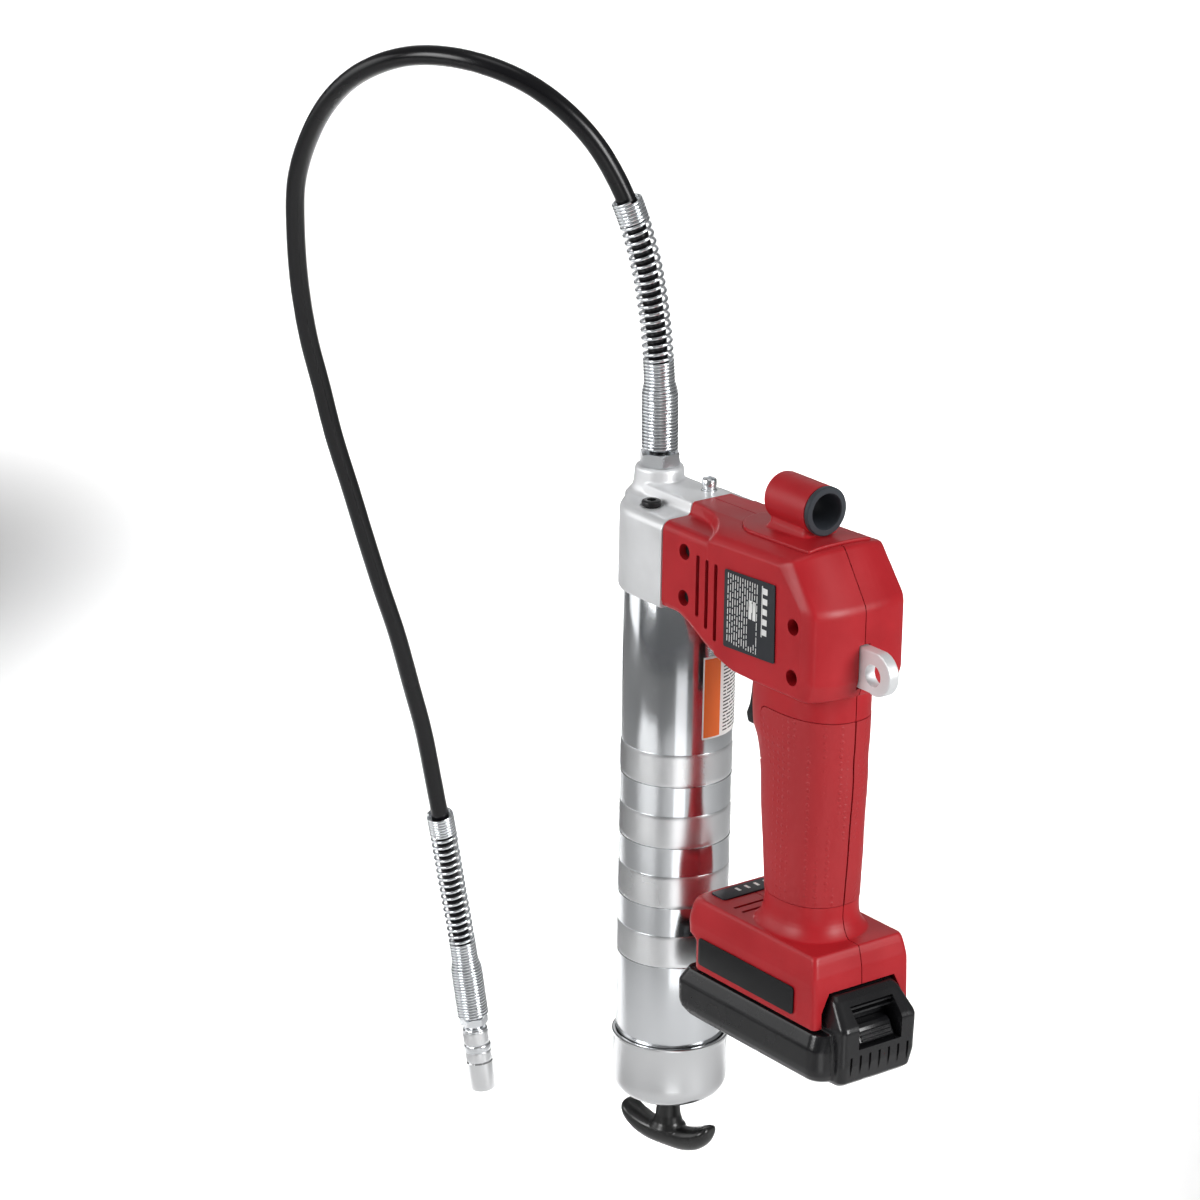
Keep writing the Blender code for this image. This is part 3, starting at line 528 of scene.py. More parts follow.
def finish(obj, look, body, slot, *nodes, angle=40):
    """Shade a piece, paint it and put it on its body in place of CAD nodes."""
    paint(obj, look)
    obj.data.shade_smooth()
    obj.data.set_sharp_from_angle(angle=math.radians(angle))
    return attach(obj, body, slot, *nodes)


def soften(obj, width, segments=3, angle=30):
    """Round the edges of a plain solid."""
    bevel = obj.modifiers.new("Bevel", "BEVEL")
    bevel.width = width * MM
    bevel.segments = segments
    bevel.limit_method = "ANGLE"
    bevel.angle_limit = math.radians(angle)
    return settle(obj)


# Barrel, cap, rod and handle


def knurled(radius, height, top, pitch, rise):
    """Return a sleeve whose outside is covered in small pyramids."""
    sides = 2 * round(math.pi * radius / pitch)
    rows = 2 * round(height / pitch / 1.2)
    rings = []
    for row in range(rows + 1):
        peak = rise if 0 < row < rows else 0.0
        radii = [radius + peak * ((i + row) % 2) for i in range(sides)]
        rings.append(circle(radii, top - height * row / rows))
    for z in (top - height, top):
        rings.append(circle([radius - 0.6] * sides, z))
    return hoop(rings)


def make_barrel():
    inset = BARREL_R - BAND_DEPTH
    profile = [(inset, BARREL_TOP), (BARREL_R, BARREL_TOP - 0.5)]
    for top in BAND_TOPS:
        end = top - BAND_HEIGHT
        profile += [(BARREL_R, top + 0.4), (inset, top + 0.1), (inset, end - 0.1), (BARREL_R, end - 0.4)]
    profile += [(BARREL_R, BARREL_END + 0.5), (inset, BARREL_END)]
    profile += [(BARREL_BORE, BARREL_END), (BARREL_BORE, BARREL_TOP)]
    tube = raw("barrel_tube", lathe(profile, 160, ring=True))
    finish(tube, "barrel", "gun", "barrel_steel", "barrel")
    for number, top in enumerate(BAND_TOPS, 1):
        band = raw(f"knurl_band_{number}", knurled(BARREL_R - 0.3, BAND_HEIGHT, top, 1.7, 0.45))
        finish(band, "knurl", "gun", "barrel_steel", angle=20)


def make_end_cap():
    profile = [
        (CAP_R - 0.1, CAP_TOP), (CAP_R + 0.5, CAP_TOP - 0.5), (CAP_R + 0.6, CAP_TOP - 1.3),
        (CAP_R + 0.3, CAP_TOP - 2.2), (CAP_R, CAP_TOP - 2.8), (CAP_R, CAP_END + 12),
    ]
    for i in range(1, 15):
        turn = math.radians(90 * i / 14)
        profile.append((CAP_R - 12 + 12 * math.cos(turn), CAP_END + 11 - 11 * math.sin(turn)))
    profile += [
        (8.6, CAP_END), (7.8, CAP_END + 0.3), (7.6, CAP_END + 1.1), (18.0, CAP_END + 1.3),
        (23.5, CAP_END + 3.2), (27.3, CAP_END + 7.6), (28.9, CAP_END + 12), (28.9, CAP_TOP),
    ]
    cap = raw("cap_shell", lathe(profile, 144, ring=True))
    finish(cap, "cap", "gun", "barrel_steel", "end_cap")


def anchor():
    """Return the T-handle's bar: a keel with two upturned, rounded ends."""
    side = [
        # x, middle height, half thickness, half width
        (-28.2, -297.0, 3.0, 3.4),
        (-27.3, -297.6, 4.9, 5.4),
        (-24.4, -299.5, 6.5, 7.0),
        (-19.0, -302.6, 7.2, 7.2),
        (-11.0, -305.0, 7.2, 6.8),
    ]
    rows = side + [(0.0, -305.7, 7.0, 6.4)] + [(-x, *rest) for x, *rest in reversed(side)]
    rings = []
    for x, middle, thick, wide in blended(rows, 1.5):
        ring = []
        for i in range(32):
            turn = math.tau * i / 32
            z = math.sin(turn)
            width = wide * (1.0 + 0.18 * z)
            ring.append((x, width * math.cos(turn), middle + thick * z * (0.85 if z > 0 else 1.0)))
        rings.append(ring)
    return loft(rings)


def make_handle():
    rod = [(0, 10.2), (3.4, 10.2), (4.0, 9.4), (4.0, -295.8), (0, -295.8)]
    finish(raw("follower_rod", lathe(rod, 48)), "steel", "rod", "bright_steel", "plunger_rod")
    neck = [
        (0, -281.2), (5.6, -281.2), (6.3, -282.0), (6.3, -290), (6.6, -294), (7.8, -298),
        (10, -301), (0, -303),
    ]
    handle = moulded("pull_handle", [anchor(), lathe(neck, 64)], 0.45, 10)
    handle.data.transform(Matrix.Rotation(HANDLE_TURN, 4, "Z"))
    cut(handle, bar((0, 0, -279), (0, 0, -296.1), 4.3))
    finish(handle, "handle", "rod", "black_plastic", "t_handle")


# Pump head


def stadium(half, z):
    """Return a half round facing -X with straight sides back to the head's rear face."""
    points = [(HEAD_REAR, half, z)]
    for i in range(49):
        turn = math.radians(90 + 180 * i / 48)
        points.append((half * math.cos(turn), half * math.sin(turn), z))
    points.append((HEAD_REAR, -half, z))
    return points


def make_pump_head():
    rings = [stadium(HEAD_R - 0.9, 0.0), stadium(HEAD_R, 0.9)]
    for i in range(9):
        turn = math.radians(90 * i / 8)
        rings.append(stadium(HEAD_R - 5.5 + 5.5 * math.cos(turn), HEAD_TOP - 5.5 + 5.5 * math.sin(turn)))
    foot = RIB_HALF + 2.2
    rib = loft([
        [(x, -foot, 40.0), (x, foot, 40.0), (x, foot, HEAD_TOP - 0.4),
         (x, foot - 1.2, HEAD_TOP + 1.0), (x, RIB_HALF, RIB_TOP - 0.6), (x, RIB_HALF - 0.8, RIB_TOP),
         (x, 0.8 - RIB_HALF, RIB_TOP), (x, -RIB_HALF, RIB_TOP - 0.6),
         (x, 1.2 - foot, HEAD_TOP + 1.0), (x, -foot, HEAD_TOP - 0.4)]
        for x in (BOSS_X, HEAD_REAR - 0.2)
    ])
    boss = [
        (0, 36), (17.4, 36), (17.4, HEAD_TOP - 0.6), (15.4, HEAD_TOP + 0.4), (14.0, HEAD_TOP + 1.8),
        (13.2, HEAD_TOP + 4), (12.4, BOSS_TOP - 0.9), (11.7, BOSS_TOP), (0, BOSS_TOP),
    ]
    boss_solid = placed(lathe(boss, 72), (BOSS_X, 0, 0))
    round_edge = loft([
        stadium(HEAD_R - shrink, z)
        for shrink, z in ((0.02, 0.9), (0.02, HEAD_TOP - 5.5), (1.6, HEAD_TOP - 1.6), (5.5, HEAD_TOP - 0.02))
    ])
    shell = moulded("head_casting", [loft(rings), round_edge, rib, boss_solid], 0.55, 5)
    keep = lathe([(0, -1), (HEAD_R - 0.05, -1), (HEAD_R - 0.05, 60), (0, 60)], 120)
    sides = box((0, HEAD_REAR), (-HEAD_R + 0.05, HEAD_R - 0.05), (-1, 60))
    combine(shell, "INTERSECT", combine(raw("guide", keep), "UNION", sides))
    block = box((10, 46), (-22, 22), (4.5, 41.3))
    hidden_rib = box((12, 45.5), (-9.5, 9.5), (38, 47))
    combine(shell, "UNION", block, hidden_rib)
    cut(
        shell,
        bar((0, 0, -3), (0, 0, 24.6), BARREL_R + 0.3, 120),
        box((34, 60), (-10.5, 10.5), (-2, 35)),
        bar((39.5, 0, 34), (39.5, 0, 44.3), 4.3),
        bar((BOSS_X, 0, 40), (39.5, 0, 40), 2.0, 16),
        bar((BOSS_X, 0, 40), (BOSS_X, 0, 50), 2.2, 16),
        bar((BOSS_X, 0, 47.5), (BOSS_X, 0, 62), 5.2),
        bar((*PLUG_AT, 36.5), (*PLUG_AT, 50), 3.3),
        bar((*PLUG_AT, HEAD_TOP - 0.8), (*PLUG_AT, 50), 6.0),
        bar((*VALVE_AT, 44), (*VALVE_AT, 56), 4.1),
    )
    for x, z in SCREW_FRONT:
        for side in (-1, 1):
            cut(shell, bar((x, side * 12.6, z), (x, side * 26, z), 2.1, 16))
    finish(shell, "alloy", "gun", "cast_alloy", "pump_head", angle=45)


def make_head_fittings():
    hexagon = raw("outlet_hex", bar((BOSS_X, 0, BOSS_TOP + 0.3), (BOSS_X, 0, 65.6), 10.9, 6))
    cone = [(0, 40), (9.6, BOSS_TOP + 0.2), (11.6, BOSS_TOP + 1.6), (11.6, 64.3), (9.5, 65.7), (0, 65.7)]
    combine(hexagon, "INTERSECT", placed(lathe(cone, 96), (BOSS_X, 0, 0)))
    combine(hexagon, "UNION", bar((BOSS_X, 0, 48), (BOSS_X, 0, BOSS_TOP + 2), 4.9))
    cut(hexagon, bar((BOSS_X, 0, 47), (BOSS_X, 0, 67), 1.6, 16))
    finish(hexagon, "steel", "gun", "bright_steel", "outlet_adapter", angle=25)

    x, y = PLUG_AT
    top = HEAD_TOP + 3.0
    profile = [
        (0, 37), (3, 37), (3, HEAD_TOP + 0.1), (4.9, HEAD_TOP + 0.1), (5.0, top - 1.0),
        (4.7, top - 0.4), (4.0, top), (0, top),
    ]
    plug = raw("port_plug_screw", placed(lathe(profile, 48), (x, y, 0)))
    cut(plug, bar((x, y, HEAD_TOP + 0.6), (x, y, top + 1), 2.6, 6))
    finish(plug, "oxide", "gun", "black_oxide", "port_plug")

    x, y = VALVE_AT
    profile = [
        (0, 46.5), (3.7, 46.5), (3.7, 52.4), (3.3, 52.8), (3.3, 53.6), (3.8, 54.0), (3.8, 57.2),
        (3.3, 57.9), (2.6, 58.2), (0, 58.2),
    ]
    pin = raw("bleed_pin", placed(lathe(profile, 48), (x, y, 0)))
    cut(pin, box((x - 6, x + 6), (y - 0.5, y + 0.5), (56.8, 60)))
    finish(pin, "steel", "bleed_valve", "bright_steel", "bleed_valve")


# Housing


def roof_front(side):
    """Return where the raised roof starts at a distance from the seam."""
    if side < 13.0:
        return 26.0
    sweep = max(side - 13.8, 0.0)
    return 31.5 + math.sqrt(32.0 ** 2 - (32.0 - sweep) ** 2)


def body_ring(y):
    """Return the side outline of the motor housing at a distance from the seam."""
    side = abs(y)
    reach = side / HALF
    edge = max(0.0, side - 27.0) / 4.0
    drop = 5.0 * reach ** 3 + 2.4 * edge ** 2
    rear = 143.2 - 6.5 * reach ** 3 - 5.0 * edge ** 2
    lift = 2.0 * edge ** 2
    start = roof_front(side)
    lean = 0.0 if side < 13.0 else 3.6
    points = (
        (start, 20.0), (66.0, 20.0), (66.0, -13.3 + lift), (80.0, -17.2 + lift),
        (98.0, -17.6 + lift), (rear - 3.2, -17.2 + lift), (rear, -8.0 + lift),
        (rear, 28.1), (rear - 17.9, 54.6 - drop), (start + lean, 52.4 - drop), (start, 45.4),
    )
    outline = filleted(points, (0, 0, 2, 18, 6, 2, 6, 9, 4, 2.4, 0), 8)
    return [(x, y, z) for x, z in outline]


def body_solid():
    sides = [0, 6, 10, 12.9, 13.1, 13.5, 14, 14.6, 15.5, 17, 18.5, 20, 22, 24, 25.5, 26.5, 27.3]
    sides += [28.2, 29, 29.7, 30.3, 30.7, 31.0]
    stations = [-s for s in sides[:0:-1]] + sides
    return loft([body_ring(y) for y in stations])


def nose_ring(x, floor):
    """Return the front housing's section: level shoulders and a raised middle band."""
    right = [
        (0, floor), (26.5, floor), (28.9, floor + 0.5), (30.3, floor + 1.6), (30.9, floor + 3.6),
        (30.9, 41.2), (30.5, 43.2), (29.2, 44.9), (27.2, 45.8), (24.5, 46.0), (15.6, 46.1),
        (14.4, 46.6), (13.7, 48.0), (12.9, 51.2), (12.3, 52.1), (11.2, 52.5), (0, 52.5),
    ]
    left = [(-y, z) for y, z in reversed(right[1:-1])]
    return [(x, y, z) for y, z in right + left]


def nose_solid():
    floors = (
        (24.1, 0.6), (34.0, 0.7), (38.0, 0.2), (44.0, -2.0), (51.0, -5.6), (58.0, -9.6), (68.0, -13.2),
    )
    return loft([nose_ring(x, floor) for x, floor in floors])


def grip_rows(offset):
    return [(z, cx, a + offset, b + offset) for z, cx, a, b in blended(GRIP, 2.0)]


def grip_solid(offset):
    return loft([oval(cx, a, b, z) for z, cx, a, b in grip_rows(offset)[::-1]])


def foot_solid():
    rows = (
        (FOOT_END, 53.0, 151.0, 30.5), (-167.4, 53.0, 150.4, 30.5), (-165.6, 50.4, 150.35, 30.5),
        (-164.4, 47.6, 150.3, 30.5), (-158.5, 47.0, 150.0, 30.5), (-155.5, 47.1, 149.8, 30.2),
        (-149.0, 48.6, 148.3, 29.2), (-146.4, 50.3, 147.4, 28.6), (FOOT_TOP, 52.4, 146.6, 27.6),
    )
    return loft([rounded(x0, x1, half, z, 2.6, 8.0) for z, x0, x1, half in rows])


def pad_outline(grow):
    """Return the side outline of the soft pad."""
    g = grow
    points = (
        (160, PAD_TOP + g), (93 - g, PAD_TOP + g), (93 - g, -60 + g), (76, -68 + g), (60, -68 + g),
        (60, PAD_END - g), (160, PAD_END - g),
    )
    return filleted(points, (0, 6, 8, 12, 0, 0, 0), 6)


def inner_solids():
    """Return the hollow of the housing as plain solids."""
    motor = loft([
        [(x, y, z) for x, z in (
            (62, -10.0), (80, -14.2), (134, -13.6), (139.5 - inset, -7.0), (139.5 - inset, 27.0),
            (123.5 - inset, 50.0 - drop), (62, 48.6 - drop),
        )]
        for y, inset, drop in ((-28.2, 6, 4.4), (-20, 1.6, 1), (0, 0, 0), (20, 1.6, 1), (28.2, 6, 4.4))
    ])
    nose = loft([
        [(x, -28.2, floor), (x, 28.2, floor), (x, 28.2, 41.6), (x, 25.5, 43.3), (x, 11.6, 43.4),
         (x, 10.0, 49.6), (x, -10.0, 49.6), (x, -11.6, 43.4), (x, -25.5, 43.3), (x, -28.2, 41.6)]
        for x, floor in ((22, 3.2), (38, 3.3), (50, -2.6), (66, -10.6))
    ])
    grip = loft([oval(cx, a, b, z, 48) for z, cx, a, b in grip_rows(-WALL - 1.6)[::-1]])
    foot = loft([
        rounded(x0, x1, half, z, 3.0, 6.0)
        for z, x0, x1, half in (
            (FOOT_END - 4, 55.6, 147.8, 27.6), (-167.2, 55.6, 147.6, 27.6),
            (-163.0, 50.0, 147.4, 27.6), (-153.0, 50.8, 146.0, 26.6), (FOOT_TOP - WALL, 54.8, 143.6, 24.6),
        )
    ])
    return motor, nose, grip, foot


def roof_block(rise):
    """Return a block whose top runs along the roof of the housing, raised or sunk a little."""
    rings = []
    for y in range(-22, 23, 2):
        top = 54.6 - 5.0 * (abs(y) / HALF) ** 3 + rise
        rings.append([(56, y, 40), (128, y, 40), (128, y, top + 0.1), (56, y, top - 2.4)])
    return loft(rings)


def saddle(grow, rise, sink):
    """Return the plate under the hose holder, which follows the roof."""
    outline = [
        rounded(60.0 - grow, 122.5 + grow, 19.6 + grow, z, 1.5 + grow, 19.0 + grow, 16)
        for z in (44, 62)
    ]
    plate = combine(raw("guide", loft(outline)), "INTERSECT", roof_block(rise))
    return cut(plate, roof_block(-sink))


def cut_openings(shell):
    """Cut the room for the barrel, the vents and slots, the battery's arch and the saddle's seat."""
    tools = [bar((0, 0, -30), (0, 0, 3.8), BARREL_R + 1.4, 96)]
    for side in (-1, 1):
        for x, top, bottom in VENTS:
            low, high = sorted((side * 20, side * 40))
            outline = filleted(
                [(x - 1.3, bottom), (x + 1.3, bottom), (x + 1.3, top), (x - 1.3, top)], [1.2] * 4, 3
            )
            tools.append(slab(outline, low, high))
    for x in (76.4, 82.8):
        tools.append(box((x - 0.9, x + 0.9), (-21.6, 21.6), (FOOT_TOP - 5, FOOT_TOP + 5)))
    tools.append(box((55, 84), (-7.8, 7.8), (-55, -19.5)))
    tools.append(box((137.8, 150), (-3.4, 3.4), (-12.9, 10.0)))
    arch = [(-25.6, -190), (25.6, -190), (25.6, -174), (20.8, -164.4), (-20.8, -164.4), (-25.6, -174)]
    tools.append(loft([[(x, y, z) for y, z in arch] for x in (140, 160)]))
    tools.append(saddle(0.3, 6.0, 0.9))
    for x in HOLDER_PINS:
        tools.append(box((x - 3.3, x + 3.3), (-5.3, 5.3), (44, 60)))
    return cut(shell, *tools)


def cut_groove(shell):
    """Sink the grip where its soft pads lie."""
    groove = raw("guide", grip_solid(3.0))
    cut(groove, grip_solid(-1.4))
    combine(groove, "INTERSECT", slab(pad_outline(0.35), -60, 60))
    return cut(shell, groove)


def screw_wells(half, side):
    """Add the bosses that carry the screws, then sink and bore them."""
    rows = [(x, z, 22.4) for x, z in SCREW_FRONT] + [(x, z, SPLIT) for x, z in SCREW_REAR]
    for x, z, depth in rows:
        combine(half, "UNION", bar((x, side * 29.2, z), (x, side * depth, z), SCREW_BOSS_R))
        if side < 0 or depth > 1:
            floor = 24.5 if depth > 1 else 14
            cut(half, bar((x, side * floor, z), (x, side * 34, z), SCREW_HEAD_R))
        start = side * 34 if side < 0 else 16
        cut(half, bar((x, start, z), (x, side * -1, z), SCREW_BORE_R, 16))


def make_housing():
    shell = moulded(
        "housing", [body_solid(), nose_solid(), grip_solid(0.0), foot_solid()], 0.55, 3
    )
    cut(shell, *inner_solids())
    cut_openings(shell)
    cut_groove(shell)
    for side, name, node in ((-1, "left_shell", "housing_left"), (1, "right_shell", "housing_right")):
        half = add(name, shell.data.copy())
        combine(half, "INTERSECT", box((0, 200), sorted((side * SPLIT, side * 80)), (-250, 120)))
        screw_wells(half, side)
        finish(half, "red", "gun", "red_shell", node, angle=50)
    bpy.data.objects.remove(shell)


def make_pads():
    for side, name in ((-1, "grip_pad_left"), (1, "grip_pad_right")):
        pad = raw(name + "_rubber", grip_solid(0.15))
        cut(pad, grip_solid(-1.0))
        combine(pad, "INTERSECT", slab(pad_outline(0.0), *sorted((side * 0.45, side * 80))))
        finish(pad, "grip", "gun", "red_grip", name, angle=50)


def make_holder():
    x0, x1 = HOLDER_X
    tube = []
    for i in range(7):
        turn = math.radians(90 * i / 6)
        tube.append((HOLDER_R - 2.5 + 2.5 * math.sin(turn), x0 + 2.5 - 2.5 * math.cos(turn)))
    tube = [(0, x0), *tube, (HOLDER_R, x1), (0, x1)]
    tube_solid = placed(lathe(tube, 96), (0, 0, HOLDER_Z), (1, 0, 0))
    neck = loft([
        rounded(79.5 - flare, 107.5 + flare, 9.2 + flare, z, 3.0 + flare)
        for z, flare in ((54.0, 2.6), (55.9, 1.2), (57.2, 0.3), (59.5, 0.0), (63.0, 0.0))
    ])
    pins = [box((x - 3, x + 3), (-5, 5), (46, 58)) for x in HOLDER_PINS]
    base = saddle(0.0, 1.5, 0.6)
    plate = bmesh.new()
    plate.from_mesh(base.data)
    bmesh.ops.scale(plate, vec=(1 / MM, 1 / MM, 1 / MM), verts=plate.verts)
    bpy.data.objects.remove(base)
    holder = moulded("coupler_holder", [tube_solid, plate, neck, *pins], 0.42, 3)
    bore = bar((70, 0, HOLDER_Z), (115, 0, HOLDER_Z), 10.2, 96)
    cut(holder, bore, box((50, 130), (-20, 20), (40, 45.9)))
    cut(holder, box((108.9, 120), (-14, 14), (56.2, 90)))
    finish(holder, "red", "gun", "red_shell", "hose_holder", angle=50)

    liner = [
        (9.9, x0 + 1), (9.9, x1 + 0.2), (12.0, x1 + 0.2), (12.3, x1 + 0.6), (12.3, x1 + 2.5),
        (11.8, x1 + 3.0), (9.2, x1 + 3.0), (8.6, x1 + 2.2), (8.6, x0 + 1),
    ]
    ring = raw("holder_ring", placed(lathe(liner, 96, ring=True), (0, 0, HOLDER_Z), (1, 0, 0)))
    finish(ring, "rubber", "gun", "grey_rubber", "holder_grommet")


def make_strap_eye():
    x, z = EYE_AT
    plate = box((138, x), (-3, 3), (z - 10.2, z + 11))
    disc = bar((x, -3, z), (x, 3, z), 11.0, 96)
    flange = box((134.5, 139), (-3, 3), (z - 9.5, z + 10.5))
    eye = moulded("strap_loop", [plate, disc, flange], 0.4, 5)
    cut(eye, bar((x - 1.5, -5, z - 1), (x - 1.5, 5, z - 1), 5.6, 64))
    combine(eye, "UNION", box((134.5, 137.4), (-6, 6), (z - 9.5, z + 10.5)))
    finish(eye, "alloy", "gun", "bright_steel", "strap_eye")


def make_trigger():
    outline = filleted(
        [
            (83.6, -21.0), (71.0, -21.0), (67.2, -28.0), (66.4, -36.0), (65.4, -42.0),
            (62.8, -48.0), (64.6, -52.6), (83.6, -52.6),
        ],
        (0, 3, 8, 12, 10, 2, 2, 0), 5,
    )
    trigger = soften(raw("trigger_lever", slab(outline, -7.0, 7.0)), 1.6, 4)
    finish(trigger, "black", "trigger", "black_plastic", "trigger")


# Labels


def quads(name, look, slot, patches):
    """Make thin raised marks from (x pair, y pair, z pair) boxes."""
    return finish(raw(name, joined(box(*patch) for patch in patches)), look, "gun", slot)


def make_spec_label():
    outline = filleted([(74.6, -4.4), (113.6, -2.4), (112.8, 37.2), (74.4, 35.2)], [1.2] * 4, 4)
    finish(raw("spec_plate", slab(outline, -31.75, -31.3)), "dark", "gun", "label_dark", "spec_label")
    face = (-31.82, -31.7)
    random.seed(7)
    marks = []
    for column in range(13):
        x = 77.2 + column * 1.85
        z = 34.0
        while z > -1.0:
            length = random.uniform(1.6, 5.0)
            low = max(z - length, -1.6)
            blank = 92.0 < x < 99.0 and 4.0 < z < 22.0
            if not blank:
                marks.append(((x, x + 0.5), face, (low, z)))
            z -= length + 0.9
    for x in (93.5, 96.6):
        marks.append(((x, x + 2.2), face, (15.0, 24.5)))
    for number in range(5):
        marks.append(((104.0, 107.4), face, (30.5 - number * 5.2, 33.6 - number * 5.2)))
    marks.append(((103.2, 103.8), face, (8.5, 34.5)))
    quads("spec_marks", "ink", "label_dark", marks)


def make_badges():
    for side, name in ((-1, "badge_left"), (1, "badge_right")):
        corners = [(60.7, -178.6), (135.5, -178.6), (135.5, -164.0), (60.7, -164.0)]
        low, high = sorted((side * 30.75, side * 31.45))
        badge = raw(name + "_plate", slab(filleted(corners, [2.2] * 4, 6), low, high))
        soften(badge, 0.25, 2)
        finish(badge, "plaque", "gun", "label_dark", name)


def band_patch(radius, thick, start, end, low, high):
    """Return a curved patch of a thin shell round the barrel, between two bearings."""
    rings = []
    steps = 32
    for i in range(steps + 1):
        turn = math.radians(start + (end - start) * i / steps)
        c, s = math.cos(turn), math.sin(turn)
        rings.append([
            (radius * c, radius * s, low), ((radius + thick) * c, (radius + thick) * s, low),
            ((radius + thick) * c, (radius + thick) * s, high), (radius * c, radius * s, high),
        ])
    return loft(rings)


def make_barrel_label():
    low, high = -74.0, -30.0
    paper = raw("warning_label", band_patch(BARREL_R + 0.1, 0.25, -12, 116, low, high))
    finish(paper, "paper", "gun", "label_light", "barrel_label")
    stripe = raw("warning_stripe", band_patch(BARREL_R + 0.35, 0.08, -11, 9, low + 1, high - 1))
    finish(stripe, "orange", "gun", "label_light")
    random.seed(3)
    dashes = []
    z = high - 3
    while z > low + 2:
        start = 14.0
        while start < 108:
            end = start + random.uniform(4, 14)
            dashes.append(band_patch(BARREL_R + 0.35, 0.06, start, min(end, 112), z - 0.7, z))
            start = end + 2
        z -= 1.9
    finish(raw("warning_lines", joined(dashes)), "dark", "gun", "label_light")


def make_gauge():
    top = FOOT_TOP + 0.75
    outline = [rounded(55.2, 66.5, 20.0, z, 2.0) for z in (FOOT_TOP - 0.1, top)]
    panel = soften(raw("gauge_plate", loft(outline)), 0.25, 2)
    finish(panel, "dark", "gun", "label_dark", "gauge_panel")
    marks = []
    for y in (-6.0, 0.0, 6.0, 12.0):
        marks.append(((58.0, 62.0), (y - 0.8, y + 0.8), (top - 0.05, top + 0.1)))
    quads("gauge_marks", "lens", "label_dark", marks)


# Battery


def make_battery():
    rows = (
        (BATTERY_END, 56.0, 153.0, 27.5), (-208.0, 49.4, 156.4, 31.2), (-205.0, 45.4, 157.6, 32.6),
        (-202.0, 44.3, 158.0, 33.0), (-192.0, 44.0, 158.0, 33.0), (-190.6, 44.4, 157.8, 32.6),
        (CASE_TOP, 48.2, 157.0, 30.2),
    )
    case_solid = loft([rounded(x0, x1, half, z, 9.0, 6.0) for z, x0, x1, half in rows])
    tower_rows = (
        (BATTERY_END, 142.0, 160.0, 21.0), (-208.0, 142.0, 163.6, 22.6), (-199.0, 142.0, 165.4, 23.6),
        (-180.5, 142.0, 165.8, 23.9), (-178.5, 142.0, 165.0, 23.5), (-168.0, 142.0, 155.4, 20.6),
        (-166.0, 142.0, 153.0, 19.2), (-165.6, 142.0, 152.2, 18.6),
    )
    tower = loft([rounded(x0, x1, half, z, 3.6) for z, x0, x1, half in tower_rows])
    case = moulded("battery_shell", [case_solid, tower], 0.6, 3)
    tools = [
        box((51.0, 141), (-28.4, 28.4), (BATTERY_END + 3, -150)),
        box((152, 175), (-13.6, 13.6), (-190.8, -170.6)),
        box((147, 158), (-11.6, 11.6), (-190.8, -181)),
        box((146, 148), (-14, 14), (-167, -160)),
        box((150, 151.2), (-14, 14), (-167, -160)),
    ]
    for y in range(-18, 19, 6):
        tools.append(box((164.3, 170), (y - 0.7, y + 0.7), (-206.5, -194)))
    for x in range(70, 140, 14):
        tools.append(box((x, x + 7), (-40, -31.4), (-209.5, -207.2)))
        tools.append(box((x, x + 7), (31.4, 40), (-209.5, -207.2)))
    cut(case, *tools)
    ledges = [box((151, 157), (-13.8, 13.8), (z - 0.5, z + 0.5)) for z in (-172.6, -175.4)]
    combine(case, "UNION", *ledges)
    finish(case, "black", "battery", "black_plastic", "battery_case", angle=35)

    deck = box((51.3, 140.7), (-28.1, 28.1), (CASE_TOP - 3, CASE_TOP))
    lid = soften(raw("battery_deck", deck), 0.4, 2)
    rail = box((72, 139), (-20, 20), (-185, -176))
    lips = [box((74, 137), sorted((s * 18, s * 23)), (-179, -176)) for s in (-1, 1)]
    combine(lid, "UNION", rail, *lips)
    finish(lid, "black", "battery", "black_plastic", "battery_lid", angle=25)

    paddle = filleted(
        [
            (149.6, -190.4), (161.4, -190.4), (163.2, -189.0), (160.4, -184.4), (159.6, -182.6),
            (157.6, -181.4), (149.6, -181.4),
        ],
        (0, 0.8, 0.8, 2, 1, 0.8, 0), 4,
    )
    latch = soften(raw("release_paddle", slab(paddle, -11.0, 11.0)), 0.5, 3)
    grips = []
    for k in range(3):
        x, z = 160.9 + 0.9 * k, -184.6 - 1.7 * k
        grips.append(bar((x, -9.4, z), (x, 9.4, z), 0.6, 16))
    combine(latch, "UNION", *grips)
    finish(latch, "black", "battery_latch", "black_plastic", "battery_latch")


# Hose and coupler


def smooth_route(steps):
    """Return evenly spaced points on a smooth curve through the route's own points."""
    points = [Vector(p) for p in ROUTE]
    ends = [2 * points[0] - points[1], *points, 2 * points[-1] - points[-2]]
    fine = []
    for a, b, c, d in zip(ends, ends[1:], ends[2:], ends[3:]):
        for i in range(16):
            t = i / 16
            fine.append(0.5 * (
                2 * b + (c - a) * t + (2 * a - 5 * b + 4 * c - d) * t ** 2
                + (3 * b - a - 3 * c + d) * t ** 3
            ))
    fine.append(points[-1])
    return resample(fine, steps)


def distances(points):
    lengths = [0.0]
    for a, b in zip(points, points[1:]):
        lengths.append(lengths[-1] + (b - a).length)
    return lengths


def resample(points, steps):
    """Return steps + 1 points at equal distances along a line of points."""
    lengths = distances(points)
    out = []
    k = 1
    for i in range(steps + 1):
        distance = lengths[-1] * i / steps
        while k < len(points) - 1 and lengths[k] < distance:
            k += 1
        share = (distance - lengths[k - 1]) / (lengths[k] - lengths[k - 1])
        out.append(points[k - 1].lerp(points[k], share))
    return out


